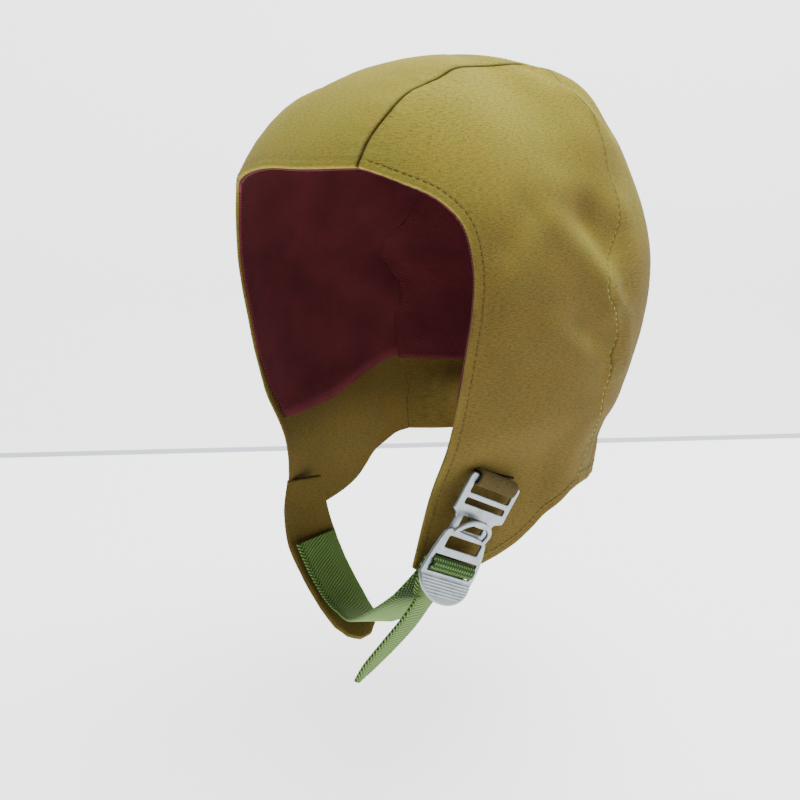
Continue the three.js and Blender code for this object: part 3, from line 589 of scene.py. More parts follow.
class Nodes:
    """Short helper for building one node material."""

    def __init__(self, name):
        self.material = bpy.data.materials.new(name)
        self.material.use_nodes = True
        self.tree = self.material.node_tree
        self.shader = self.tree.nodes["Principled BSDF"]

    def feed(self, node, socket, value):
        """Join an output to an input, or set the input to a number or a colour."""
        if isinstance(value, bpy.types.NodeSocket):
            self.tree.links.new(value, node.inputs[socket])
        elif isinstance(value, tuple):
            node.inputs[socket].default_value = (*value, 1)
        else:
            node.inputs[socket].default_value = value

    def add(self, kind, **settings):
        node = self.tree.nodes.new(kind)
        for key, value in settings.items():
            if key in node.inputs:
                self.feed(node, key, value)
            else:
                setattr(node, key, value)
        return node

    def scaled(self, source, scale):
        node = self.add("ShaderNodeMapping", Vector=source, Scale=Vector(scale or (1, 1, 1)))
        return node.outputs["Vector"]

    def uv(self, *scale):
        return self.scaled(self.add("ShaderNodeUVMap", uv_map="cloth").outputs["UV"], scale)

    def space(self, *scale):
        return self.scaled(self.add("ShaderNodeTexCoord").outputs["Object"], scale)

    def noise(self, vector, scale, detail, rough=0.5):
        node = self.add("ShaderNodeTexNoise", Vector=vector, Scale=scale, Detail=detail)
        node.inputs["Roughness"].default_value = rough
        return node.outputs["Fac"]

    def ramp(self, source, *stops):
        node = self.add("ShaderNodeValToRGB", Fac=source)
        elements = node.color_ramp.elements
        while len(elements) < len(stops):
            elements.new(0.5)
        for element, (position, colour) in zip(elements, stops):
            element.position = position
            element.color = (*colour, 1)
        return node.outputs["Color"]

    def mix(self, kind, factor, first, second):
        node = self.add("ShaderNodeMix", data_type="RGBA", blend_type=kind)
        for socket, value in ((0, factor), (6, first), (7, second)):
            self.feed(node, socket, value)
        return node.outputs[2]

    def maths(self, kind, *values):
        node = self.add("ShaderNodeMath", operation=kind)
        for socket, value in enumerate(values):
            self.feed(node, socket, value)
        return node.outputs[0]

    def attribute(self, name):
        return self.add("ShaderNodeAttribute", attribute_name=name).outputs["Fac"]

    def bump(self, height, distance, strength):
        node = self.add("ShaderNodeBump", Height=height, Distance=distance, Strength=strength)
        self.feed(self.shader, "Normal", node.outputs["Normal"])

    def finish(self, **settings):
        for key, value in settings.items():
            self.feed(self.shader, key.replace("_", " "), value)
        return self.material


def shade(colour, share):
    return tuple(c * share for c in colour)


def canvas_material(name, crown, side, seed):
    """Plain-weave cotton canvas: two sets of threads, slubs, a few flecks, random patches, a paler
    top of sun fading and painted top light, and painted shade in the front seams.
    """
    m = Nodes(name)
    cloth = m.uv()
    warp = m.noise(m.uv(2100, 1500, 1), 1.0, 1)
    weft = m.noise(m.uv(430, 2000, 1), 1.0, 1)
    threads = m.maths("ADD", m.maths("MULTIPLY", warp, 0.5), m.maths("MULTIPLY", weft, 0.5))
    weave = m.ramp(
        threads, (0.36, (0.68, 0.65, 0.58)), (0.5, (1, 1, 1)), (0.64, (1.26, 1.28, 1.26)),
    )
    patches = m.noise(cloth, 30 + seed, 3)
    # Side colour, darker as painted shade, and crown colour, lighter as painted top light with some
    # sun fading, mixed by how far the cloth faces up
    shaded = m.ramp(patches, (0.34, shade(side, 0.88)), (0.66, side))
    top_light_and_fade = m.ramp(patches, (0.34, shade(crown, 0.92)), (0.66, crown))
    base = m.mix("MIX", m.attribute("top_light_and_fade"), shaded, top_light_and_fade)
    reddish = m.noise(cloth, 62 + seed, 2)
    tint = m.ramp(reddish, (0.42, (1, 1, 1)), (0.68, (1.05, 0.97, 0.9)))
    base = m.mix("MULTIPLY", 1.0, base, tint)
    base = m.mix("MULTIPLY", 0.85, base, weave)
    flecks = m.noise(m.uv(900, 1500, 1), 1.0, 0)
    fleck_mask = m.ramp(flecks, (0.78, (0, 0, 0)), (0.82, (0.8, 0.8, 0.8)))
    base = m.mix("MIX", fleck_mask, base, (0.05, 0.034, 0.012))
    worn = m.maths("MULTIPLY", m.attribute("worn"), 0.14)
    base = m.mix("MIX", worn, base, shade(crown, 1.3))
    # Painted shade: the front seams' crease darkened nearly to black
    base = m.mix("MIX", m.attribute("painted_seam_shade"), base, (0.022, 0.013, 0.005))
    fuzz = m.maths("MULTIPLY", m.noise(cloth, 900, 2), 0.4)
    m.bump(m.maths("ADD", threads, fuzz), 0.00012, 0.5)
    return m.finish(
        Base_Color=base, Roughness=0.95, Specular_IOR_Level=0.06, Sheen_Weight=0.04,
        Sheen_Roughness=0.5, Sheen_Tint=(0.95, 0.95, 0.7),
    )


def twill_material():
    """Maroon cotton twill: slanting ribs with lighter threads between them."""
    m = Nodes("maroon_twill")
    wave = m.add("ShaderNodeTexWave", Vector=m.uv(620, 620, 1), Scale=1.0, Distortion=0.8)
    wave.bands_direction = "DIAGONAL"
    ribs = wave.outputs["Fac"]
    colour = m.ramp(ribs, (0.2, (0.05, 0.009, 0.012)), (0.8, (0.125, 0.024, 0.029)))
    patch = m.ramp(m.noise(m.uv(), 40, 3), (0.3, (0.8, 0.8, 0.8)), (0.7, (1.15, 1.1, 1.1)))
    m.bump(ribs, 0.0002, 0.6)
    return m.finish(
        Base_Color=m.mix("MULTIPLY", 1.0, colour, patch), Roughness=0.92,
        Specular_IOR_Level=0.06, Sheen_Weight=0.02,
    )


def webbing_material():
    """Green webbing: slanting ribs and a chevron selvedge, with painted shade in the hollows."""
    m = Nodes("green_webbing")
    relief = m.attribute("weave_and_shade")
    # The colour follows the weave's height: near-black hollows are painted shade, the raised ribs
    # lighter
    colour = m.ramp(
        relief, (0.12, (0.008, 0.022, 0.006)), (0.5, (0.06, 0.12, 0.026)),
        (0.95, (0.19, 0.3, 0.075)),
    )
    fine = m.noise(m.uv(3000, 1200, 1), 1.0, 1)
    fibres = m.ramp(fine, (0.3, (0.8, 0.8, 0.8)), (0.7, (1.2, 1.2, 1.2)))
    m.bump(m.maths("ADD", relief, fine), 0.00012, 0.5)
    return m.finish(
        Base_Color=m.mix("MULTIPLY", 0.8, colour, fibres), Roughness=0.8,
        Specular_IOR_Level=0.12, Sheen_Weight=0.03,
    )


def steel_material():
    """Satin stamped steel: fine brushing and cloudy patches."""
    m = Nodes("satin_steel")
    place = m.space()
    clouds = m.noise(place, 180, 4, 0.6)
    colour = m.ramp(clouds, (0.3, (0.22, 0.248, 0.262)), (0.7, (0.34, 0.372, 0.386)))
    brushed = m.noise(m.space(300, 300, 2600), 1.0, 2)
    m.bump(m.maths("ADD", brushed, m.noise(place, 2200, 2)), 0.00006, 0.35)
    rough = m.maths("MULTIPLY_ADD", clouds, 0.22, 0.3)
    return m.finish(Base_Color=colour, Roughness=rough, Metallic=0.92)


def thread_material(name, colour):
    m = Nodes(name)
    twist = m.noise(m.space(5200, 5200, 5200), 1.0, 1)
    m.bump(twist, 0.0001, 0.5)
    twisted = m.ramp(twist, (0.3, shade(colour, 0.6)), (0.7, shade(colour, 1.35)))
    return m.finish(Base_Color=twisted, Roughness=0.85, Specular_IOR_Level=0.06)


# The crown colour is lit and the side colour shaded: painted top light and painted shade, with some
# sun fading between them
CANVAS_CROWN = (0.31, 0.27, 0.044)
CANVAS_SIDE = (0.112, 0.079, 0.019)
CANVAS = canvas_material("khaki_canvas", CANVAS_CROWN, CANVAS_SIDE, 0)
CANVAS_LEFT = canvas_material("khaki_canvas_side", CANVAS_CROWN, CANVAS_SIDE, 3)
# The loop's canvas is darker than the rest as painted shade under the buckle plate
CANVAS_LOOP_SHADED = canvas_material("khaki_canvas_loop_shaded", (0.085, 0.066, 0.024), (0.07, 0.052, 0.018), 5)
TWILL = twill_material()
WEBBING = webbing_material()
STEEL = steel_material()
HEM_THREAD = thread_material("hem_thread", (0.066, 0.054, 0.024))
# Near-black thread along the slit, a painted shadow of the slit's opening
SLIT_SHADOW_THREAD = thread_material("slit_shadow_thread", (0.014, 0.011, 0.006))
SEAM_THREAD = thread_material("seam_thread", (0.3, 0.27, 0.13))


def edge_line(rows, low=0.0, high=1.0):
    return on_surface(aim_curve(rows, np.linspace(low, high, EDGE_POINTS)))


def hem_aims(place):
    """Directions right across the centre panel at one place along its seams."""
    return centre_aims(np.array([place]), np.linspace(1, -1, HEM_POINTS))[0]


def nearest_edge(points, lines):
    """Distance in mm from each grid point to the nearest of the lines."""
    return np.min([edge_distance(points, line)[0] for line in lines], axis=0)


def panel(name, aims, sewn, uv_of, mirrored=False):
    """One sewn panel: its outside with all the relief, its inside following more smoothly.

    Its fields are the wear along the edges, the painted shade in the front seams, and how far it
    faces up, which gives the paler top of sun fading and painted top light."""
    hems, seams, seed = sewn
    plain = on_surface(aims)
    normals = grid_normals(plain, aims)
    relief = cloth_relief(plain, aims, *sewn)
    slack = nape_ripples(aims) + loose(plain, seed)
    outer = plain + normals * (relief * MM)[..., None]
    inner = plain + normals * (slack * MM - CANVAS_WALL)[..., None]
    half = len(seams) // 2
    worn = np.exp(-nearest_edge(plain, hems + seams[half:]) / WEAR_REACH)
    worn = np.clip(worn * (0.7 + 0.5 * value_noise(plain, 7, 91)), 0, 1)
    # Painted shade along the front seams' crease
    painted_seam_shade = bell(nearest_edge(plain, seams[:half]), SEAM_SHADE_REACH)
    painted_seam_shade *= 0.9 + 0.1 * value_noise(plain, 3, 77)
    # How far the cloth faces up, for the paler top: sun fading and painted top light
    top_light_and_fade = smooth_step(-0.1, 0.95, normals[..., 2] + 0.08 * value_noise(plain, 40, seed + 5))
    obj = wall_object(name, outer, inner, uv_of(plain), mirrored)
    for key, outside, inside in (("worn", worn, 0), ("painted_seam_shade", painted_seam_shade, 0), ("top_light_and_fade", top_light_and_fade, 1)):
        both = np.stack([outside, outside * inside])
        set_value(obj, key, both[..., ::-1] if mirrored else both)
    return obj


RING_ALONG = np.array([-0.5, -0.36, 0.36, 0.5])
RING_SIZE = np.array([0.45, 1.0, 1.0, 0.45])
RING_SINK = np.array([0.5, 0.0, 0.0, 0.5])
RING_TURNS = np.radians(np.arange(0, 360, 60))


def stitch_row(aims, sewn, sewing, mirrored=False):
    """Raised stitches along a line of directions, each one as rings of points."""
    pitch, length, thick = (value * MM for value in sewing)
    plain = on_surface(aims)
    relief = cloth_relief(plain, aims, *sewn)
    line = plain + surface_normals(aims) * (relief * MM + thick * STITCH_LIFT)[:, None]
    along = run_lengths(line)
    spots = np.arange(pitch, along[-1] - pitch, pitch)
    rng = np.random.default_rng(sewn[2])
    spots += rng.uniform(-STITCH_JITTER, STITCH_JITTER, len(spots)) * pitch
    centre = at_places(spots, along, line)
    ends = [at_places(spots + way * length / 2, along, line) for way in (-1, 1)]
    run = unit(ends[1] - ends[0])
    side = unit(np.cross(run, unit(centre - HEAD_CENTRE)))
    out = np.cross(side, run)
    size = RING_SIZE[:, None] * thick / 2
    shifts = (
        (run, RING_ALONG[:, None] * length),
        (side, size * np.cos(RING_TURNS)),
        (out, size * np.sin(RING_TURNS) - RING_SINK[:, None] * thick),
    )
    points = centre[:, None, None]
    for way, shift in shifts:
        points = points + way[:, None, None] * shift[..., None]
    return mirror_x(points) if mirrored else points


def stitch_object(name, rows, material):
    points = np.concatenate(rows)
    rings, ring = len(RING_ALONG), len(RING_TURNS)
    faces = []
    for first in range(0, len(points) * rings * ring, rings * ring):
        faces += tube_faces(rings, ring, first)
    obj = mesh_object(name, points.reshape(-1, 3), faces)
    turn_faces_out(obj.data)
    return finish_piece(obj, material, "canvas")


def side_uv(points):
    return np.stack([points[..., 1], points[..., 2]], axis=-1)


def centre_uv(points):
    along = run_lengths(points[:, points.shape[1] // 2])[:, None]
    return np.stack([points[..., 0], along + 0 * points[..., 0]], axis=-1)


HEM_LINE = edge_line(BOTTOM_HEM)


def seam_lines(seam):
    """The seam's stretch over the crown and the one down the back."""
    return [edge_line(seam, 0, SEAM_KEY), edge_line(seam, SEAM_KEY, 1)]


def side_lines(seam, opening):
    return [edge_line(opening), HEM_LINE], seam_lines(seam)


def centre_lines():
    hems = [on_surface(hem_aims(0.0)), on_surface(hem_aims(1.0))]
    pairs = zip(seam_lines(SEAM), seam_lines(RIGHT_SEAM))
    return hems, [line for left, right in pairs for line in (left, mirror_x(right))]


# What is sewn on each panel, as its hems, its seams and a seed; then both sides, as their seam,
# opening and sewing, and whether they are mirrored
CENTRE_SEWN = (*centre_lines(), 37)
LEFT_SEWN = (*side_lines(SEAM, OPENING_EDGE), 11)
RIGHT_SEWN = (*side_lines(RIGHT_SEAM, RIGHT_OPENING_EDGE), 23)
SIDES = {
    "left": (SEAM, OPENING_EDGE, LEFT_SEWN, False),
    "right": (RIGHT_SEAM, RIGHT_OPENING_EDGE, RIGHT_SEWN, True),
}


def build_canvas():
    for side, (seam, opening, sewn, mirrored) in SIDES.items():
        obj = panel(side + "_canvas", side_aims(seam, opening), sewn, side_uv, mirrored)
        finish_piece(obj, CANVAS_LEFT, "canvas", side + "_side_panel")
    across = 1 - 2 * packed_ends(CENTRE_GRID[0])
    centre = panel("center_canvas", centre_aims(centre_places(), across), CENTRE_SEWN, centre_uv)
    finish_piece(centre, CANVAS, "canvas", "center_panel")


def build_stitches():
    """Rows of stitches: dark along the opening and the flaps, pale on the seams and front hem."""
    dark = []
    pale = []
    spots = np.linspace(0.01, 0.99, 1200)
    for seam, opening, sewn, mirrored in SIDES.values():
        for edge in (opening, BOTTOM_HEM):
            aims = aim_curve(edge, spots, -HEM_STITCH * MM)
            dark.append(stitch_row(aims, sewn, HEM_STITCHES, mirrored))
        rear = aim_curve(seam, SEAM_KEY + (1 - SEAM_KEY) * spots, REAR_STITCH * MM)
        pale.append(stitch_row(rear, sewn, SEAM_STITCHES, mirrored))
        front = aim_curve(seam, SEAM_KEY * spots, -FRONT_STITCH * MM)
        pale.append(stitch_row(front, CENTRE_SEWN, TOP_STITCHES, mirrored))
    for place, rows in zip(CENTRE_HEM_ROWS, (pale, dark)):
        rows.append(stitch_row(hem_aims(place), CENTRE_SEWN, HEM_STITCHES))
    stitch_object("hem_stitches", dark, HEM_THREAD)
    stitch_object("seam_stitches", pale, SEAM_THREAD)


def lining_panel(side, aims, uv_of, mirrored=False):
    plain = on_surface(aims)
    normals = grid_normals(plain, aims)
    slack = loose(plain, 5) * MM
    wavy = slack + LINING_WAVE * value_noise(plain, 14, 8)
    outer = plain + normals * (slack - LINING_TOP)[..., None]
    inner = plain + normals * (wavy - LINING_BOTTOM)[..., None]
    obj = wall_object(side + "_twill", outer, inner, uv_of(plain), mirrored)
    finish_piece(obj, TWILL, "lining", side + "_lining")


def build_lining():
    """The linings stop short of the bottom hem, which is turned up and faced with canvas."""
    last = np.searchsorted(packed_ends(SIDE_GRID[1]), SIDE_LINED)
    for side, (seam, opening, _, mirrored) in SIDES.items():
        aims = side_aims(seam, opening, LINING_INSET)
        lining_panel(side, aims[:last:LINING_STEP, ::LINING_STEP], side_uv, mirrored)
    places = centre_places()
    places = places[places <= CENTRE_LINED][::LINING_STEP]
    across = 1 - 2 * packed_ends(CENTRE_GRID[0] // 2)
    lining_panel("center", centre_aims(places, across), centre_uv)


def ribbon_frames(rows, steps):
    """Even places along given rows of point, way across and half width."""
    places = np.linspace(0, 1, steps + 1)
    stations = np.linspace(0, 1, len(rows))
    middle = curve_points([row[0] for row in rows], places)
    across = at_places(places, stations, unit(np.array([row[1] for row in rows])))
    halves = np.interp(places, stations, [row[2] for row in rows])
    along = unit(np.gradient(middle, axis=0))
    across = unit(across - np.sum(across * along, axis=1, keepdims=True) * along)
    return middle, across, np.cross(along, across), halves, run_lengths(middle)


def even_rows(rows, steps):
    """The same ribbon with its places spread evenly by length."""
    *ways, halves, length = ribbon_frames(rows, steps * 4)
    spots = np.linspace(0, length[-1], steps + 1)
    middle, across, face = (at_places(spots, length, way) for way in ways)
    return middle, unit(across), unit(face), np.interp(spots, length, halves), spots


def ribbon_object(name, rows, steps, columns, thick, relief_of):
    """A woven band: two faces with relief, rounded selvedges and closed ends."""
    middle, across, face, halves, length = even_rows(rows, steps)
    halves = halves[:, None]
    offset = np.linspace(-1, 1, columns + 1) * halves
    length = length[:, None] + 0 * offset
    rim = np.clip((np.abs(offset) - halves + thick / 2) / (thick / 2), 0, 1)
    edge = np.sqrt(np.clip(1 - rim ** 2, 0.02, 1))
    relief, tone = relief_of(offset, length, halves)
    place = middle[:, None] + across[:, None] * offset[..., None]
    lift = face[:, None] * ((thick / 2 + relief) * edge)[..., None]
    obj = wall_object(name, place + lift, place - lift, np.stack([offset, length], axis=-1))
    set_value(obj, "weave_and_shade", np.stack([tone, tone]))
    return obj


# Frames of the buckle plates, as the solids have them: across, up and out from the cheek
PLATE_ACROSS = unit(np.array([0.035, 0.884, -0.46]))
PLATE_DOWN = np.array([-0.18, -0.4, -0.9])
PLATE_DOWN = unit(PLATE_DOWN - PLATE_ACROSS * (PLATE_DOWN @ PLATE_ACROSS))
PLATE_OUT = np.cross(PLATE_DOWN, PLATE_ACROSS)
SLIT_MIDDLE = np.array([62.5, -24, -179])
UPPER_LIFT = 4.4
LOWER_DROP = 38
LOWER_LIFT = 2.8
LOWER_SHIFT = -2.6
BUCKLE_MIDDLE = -6.1


def plate_frame(shift, down, lift):
    along = PLATE_ACROSS * (BUCKLE_MIDDLE + shift)
    origin = SLIT_MIDDLE + PLATE_OUT * lift + along + PLATE_DOWN * down
    turn = np.stack([PLATE_ACROSS, -PLATE_DOWN, PLATE_OUT], axis=1)
    return turn, origin


def in_frame(frame_of, points):
    """Points given in a plate's own mm as metres in the shared frame."""
    turn, origin = frame_of
    return (np.asarray(points, float) @ turn.T + origin) * MM


UPPER_FRAME = plate_frame(0, 0, UPPER_LIFT)
LOWER_FRAME = plate_frame(LOWER_SHIFT, LOWER_DROP, UPPER_LIFT + LOWER_LIFT)
PLATE_THICK = 1.5
PLATE_BEVEL = 0.45


def arc_points(centre, radius, start, end, count=7):
    angles = np.radians(np.linspace(start, end, count))
    return [(centre[0] + radius * math.cos(a), centre[1] + radius * math.sin(a)) for a in angles]


def rounded_box(left, right, high, low, radius):
    points = []
    for x, y, start in ((right, low, -90), (right, high, 0), (left, high, 90), (left, low, 180)):
        inward = radius if x == left else -radius
        upward = radius if y == low else -radius
        points += arc_points((x + inward, y + upward), radius, start, start + 90)
    return points


def plate_object(name, outlines, frame_of):
    """Sheet metal with windows: a filled outline, given thickness and rolled edges."""
    curve = bpy.data.curves.new(name, "CURVE")
    curve.dimensions = "2D"
    curve.fill_mode = "BOTH"
    curve.extrude = (PLATE_THICK / 2 - PLATE_BEVEL) * MM
    curve.bevel_depth = PLATE_BEVEL * MM
    curve.bevel_resolution = 3
    curve.offset = -PLATE_BEVEL * MM
    for outline in outlines:
        spline = curve.splines.new("POLY")
        spline.points.add(len(outline) - 1)
        for point, (x, y) in zip(spline.points, outline):
            point.co = (x * MM, y * MM, 0, 1)
        spline.use_cyclic_u = True
    flat = link(bpy.data.objects.new(name + "_outline", curve))
    bpy.context.view_layer.update()
    evaluated = flat.evaluated_get(bpy.context.evaluated_depsgraph_get())
    mesh = bpy.data.meshes.new_from_object(evaluated)
    bpy.data.objects.remove(flat)
    turn, origin = frame_of
    rows = np.column_stack([turn, origin * MM]).tolist()
    mesh.transform(Matrix([*rows, [0, 0, 0, 1]]))
    turn_faces_out(mesh, 0.02 * MM)
    set_smooth(mesh)
    mesh.set_sharp_from_angle(angle=math.radians(40))
    mesh.name = name
    return link(bpy.data.objects.new(name, mesh))


# The upper plate in mm: its outline, and its windows as left, right, top, bottom and corner
UPPER = {
    "top": 1.6, "half": 15.7, "corner": 1.8, "shoulder": -15.2, "shoulder_corner": 1.5,
    "neck_top": -19.4, "neck_corner": 2.2, "neck_left": 12.4, "neck_right": 10.6, "bottom": -26.3,
}
UPPER_WINDOWS = [
    (-12, 13, -1.5, -7.1, 0.8), (-12, 13, -9.6, -12.5, 0.8), (-8.4, 6.6, -17.7, -24, 0.8),
]


def upper_side(neck):
    """The right edge from the bottom to the top, for a neck as wide as that."""
    u = UPPER
    arcs = (
        (neck - u["corner"], u["bottom"] + u["corner"], u["corner"], -90, 0),
        (neck + u["neck_corner"], u["neck_top"], u["neck_corner"], 180, 115),
        (u["half"] - u["shoulder_corner"], u["shoulder"], u["shoulder_corner"], -65, 0),
        (u["half"] - u["corner"], u["top"] - u["corner"], u["corner"], 0, 90),
    )
    return [point for x, y, *arc in arcs for point in arc_points((x, y), *arc)]


def build_upper_buckle():
    left = [(-x, y) for x, y in reversed(upper_side(UPPER["neck_left"]))]
    outlines = [upper_side(UPPER["neck_right"]) + left]
    outlines += [rounded_box(*window) for window in UPPER_WINDOWS]
    obj = plate_object("upper_plate", outlines, UPPER_FRAME)
    return finish_piece(obj, STEEL, "steel", "upper_buckle")


# The lower plate in mm, with its windows in the same order, and the arch, the lip and the tongue
LOWER_HALF = 16
LOWER_BOTTOM = -8.1
LOWER_WINDOWS = [
    (-10.4, 10.4, 10.8, 5.2, 0.8), (-13.2, 13.2, 1.5, -1.6, 0.5), (-13.2, 13.2, -3.9, -6.4, 0.5),
]
LOWER_CORNERS = [
    ((16, -4), (16, 2), (12.4, 10.5)), ((12.4, 10.5), (11.4, 12.9), (9, 12.9)),
    ((-10.5, 14), (-12.9, 14), (-13.9, 11.6)), ((-13.9, 11.6), (-16, 2), (-16, -4)),
]
ARCH_ROUTE = [
    (-9, 11.8, 0), (-8.2, 15, 1.3), (-6, 18, 2.5), (-2.5, 19.9, 3.1), (2, 20.3, 3.2),
    (6.4, 19, 2.9), (9.1, 16.4, 2), (9.9, 13.6, 0.8), (9.8, 11.4, 0),
]
ARCH_SECTION = (2.2, 1.7)
ARCH_SIDES = 16
LIP_SIZE = (7.2, 1.4, 6.6)
LIP_MIDDLE = (2, 18.9, -0.3)
TONGUE = {
    "length": 11.8, "tilt": 28, "lift": 0.12, "dish": 0.25, "rim": 0.04, "ribs": 6, "step": 1.35,
    "high": 0.3, "inset": 0.05, "start": 0.8, "end": 0.5,
}
TONGUE_GRID = (97, 61)


def lower_outline():
    points = [(LOWER_HALF, LOWER_BOTTOM)]
    for corner in LOWER_CORNERS:
        for t in np.linspace(0, 1, 12):
            shares = np.array([(1 - t) ** 2, 2 * t * (1 - t), t * t])
            points.append(tuple(shares @ np.array(corner, float)))
    points.append((-LOWER_HALF, LOWER_BOTTOM))
    return [p for i, p in enumerate(points) if i == 0 or math.dist(p, points[i - 1]) > 0.01]


def arch_object():
    """The hook loop: a flat band bent up over the upper buckle's neck."""
    middle = curve_points(ARCH_ROUTE, np.linspace(0, 1, 49))
    along = unit(np.gradient(middle, axis=0))
    wide_way = unit(np.cross(along, np.array([0, 0, 1.0])))
    deep_way = np.cross(wide_way, along)
    angles = np.linspace(0, 2 * math.pi, ARCH_SIDES, endpoint=False)
    points = middle[:, None]
    for way, size, round_way in zip((wide_way, deep_way), ARCH_SECTION, (np.cos, np.sin)):
        reach = round_way(angles)
        reach = np.copysign(np.sqrt(np.abs(reach)), reach) * size / 2
        points = points + way[:, None] * reach[:, None]
    faces = tube_faces(len(middle), ARCH_SIDES)
    return mesh_object("hook_arch", in_frame(LOWER_FRAME, points.reshape(-1, 3)), faces)


def lip_object():
    """The hook's lip, from the arch back through the window in the upper buckle's neck."""
    bm = bmesh.new()
    bmesh.ops.create_cube(bm, size=1)
    for vert in bm.verts:
        vert.co = [c * size + middle for c, size, middle in zip(vert.co, LIP_SIZE, LIP_MIDDLE)]
    bmesh.ops.bevel(
        bm, geom=bm.edges, offset=PLATE_BEVEL, segments=3, affect="EDGES", profile=0.5,
    )
    points = in_frame(LOWER_FRAME, [tuple(vert.co) for vert in bm.verts])
    faces = [tuple(vert.index for vert in face.verts) for face in bm.faces]
    bm.free()
    return mesh_object("hook_lip", points, faces)


def tongue_object():
    """The release tongue: a half round bent outward, with pressed ribs across it."""
    t = TONGUE
    tilt = math.radians(t["tilt"])
    down = t["length"] * np.sin(np.linspace(0, np.pi / 2, TONGUE_GRID[0]))[:, None]
    side = np.sin(np.linspace(-np.pi / 2, np.pi / 2, TONGUE_GRID[1]))
    x = side * LOWER_HALF * np.sqrt(np.maximum(1 - (down / t["length"]) ** 2, 1e-5))
    rim = 1 - np.hypot(x / LOWER_HALF, down / t["length"])
    ribs = np.maximum(0, np.cos(2 * np.pi * (down / t["step"] - 1)))
    ribs = ribs * np.clip(rim / t["inset"] - 1, 0, 1) * np.clip(down / t["start"], 0, 1)
    ribs *= np.clip((t["step"] * t["ribs"] - down) / t["end"] + 1, 0, 1)
    half = PLATE_THICK / 2 * np.sqrt(np.clip(rim / t["rim"], 0, 1))
    middle = t["lift"] - t["dish"] * (1 - rim)
    walls = []
    for lift in (middle + half + t["high"] * ribs, middle - half):
        y = LOWER_BOTTOM - down * math.cos(tilt) + lift * math.sin(tilt)
        z = down * math.sin(tilt) + lift * math.cos(tilt)
        walls.append(in_frame(LOWER_FRAME, np.stack([x, y, z], axis=-1)))
    return wall_object("release_tongue", *walls, np.zeros((*x.shape, 2)))


def join_objects(name, parts):
    bm = bmesh.new()
    for part in parts:
        bm.from_mesh(part.data)
        bpy.data.objects.remove(part)
    mesh = bpy.data.meshes.new(name)
    bm.to_mesh(mesh)
    bm.free()
    mesh.set_sharp_from_angle(angle=math.radians(50))
    return link(bpy.data.objects.new(name, mesh))


def build_lower_buckle():
    outlines = [lower_outline(), *(rounded_box(*window) for window in LOWER_WINDOWS)]
    plate = plate_object("lower_plate_flat", outlines, LOWER_FRAME)
    obj = join_objects("lower_plate", [plate, arch_object(), lip_object(), tongue_object()])
    set_smooth(obj.data)
    return finish_piece(obj, STEEL, "steel", "lower_buckle")


# The chin tab and the strap: middles in mm, as the solids have them
TAB_THICK = 3.0
TAB_ACROSS = unit(np.array([0.05, 0.96, -0.2]))
TAB_ROUTE = [
    (-49.5, -50, -201, 10), (-47.5, -51, -216, 13), (-42.5, -51, -231, 15),
    (-33, -49.5, -246, 15), (-22, -48, -258, 15), (-13, -47, -266, 13.5), (-8, -46.5, -270, 10),
    (-5, -46, -272.5, 4),
]
TAB_STITCHED = (2, 3, 4)
STITCH_GAP = 0.85
WEBBING_HALF = 12.5
WEBBING_THICK = 1.5
BAR_HALF = 12.8
BAR_WRAP = [
    (-8.6, -4.8), (-4.8, -4.7), (-1.9, -3.9), (-0.45, -1.8), (-0.4, 0.2), (-1.25, 1.75),
    (-2.75, 2.05), (-4.3, 1.75), (-5.15, 0.2), (-5.4, -1.5), (-7.8, -2.7),
]
CHIN_RUN = [
    (-10, -47.5, -261), (1, -49.5, -260), (12, -52, -254.5), (23, -54.5, -247),
    (34, -56, -238.5), (44, -55.5, -229.5),
]
CHIN_ACROSS = np.array([0, 0.95, -0.3])
FREE_END = [
    (52.5, -57, -227, 12), (52, -66, -236, 10.5), (50, -76, -245, 9), (47, -85, -254, 6.5),
    (45, -90, -260, 2.5),
]
FREE_ACROSS = np.array([-0.45, 0.6, -0.66])


def tab_middle(i):
    return np.array(TAB_ROUTE[i][:3])


def stitched_middle(i):
    along = tab_middle(i + 1) - tab_middle(i - 1)
    face = unit(np.cross(TAB_ACROSS, along))
    lift = (TAB_THICK + WEBBING_THICK) / 2 + STITCH_GAP
    return tab_middle(i) + face * math.copysign(lift, face[0])


def strap_rows():
    rows = [(stitched_middle(i), TAB_ACROSS, WEBBING_HALF) for i in TAB_STITCHED]
    rows += [(np.array(row), CHIN_ACROSS, WEBBING_HALF) for row in CHIN_RUN]
    turn, origin = LOWER_FRAME
    for height, lift in BAR_WRAP:
        middle = turn @ np.array([0, height, lift]) + origin
        rows.append((middle, PLATE_ACROSS, BAR_HALF))
    rows += [(np.array(row[:3]), FREE_ACROSS, row[3]) for row in FREE_END]
    return [(np.asarray(p) * MM, a, h * MM) for p, a, h in rows]


# The webbing's weave in mm, with its ribs bent one way and dots where it goes round the bar
SELVEDGE = 3.1
RIB_STEP = 1.5
RIB_SLANT = 0.4
RIB_BEND = 12
CHEVRON_SLANT = 0.9
DOT_STEP = (1.8, 1.5)
CALM_SPAN = (4, 9)
BAR_FADE = 2 * MM
WEAVE_HEIGHT = 0.24 * MM


def waves(distance, step):
    return 0.5 + 0.5 * np.cos(2 * np.pi * distance / (step * MM))


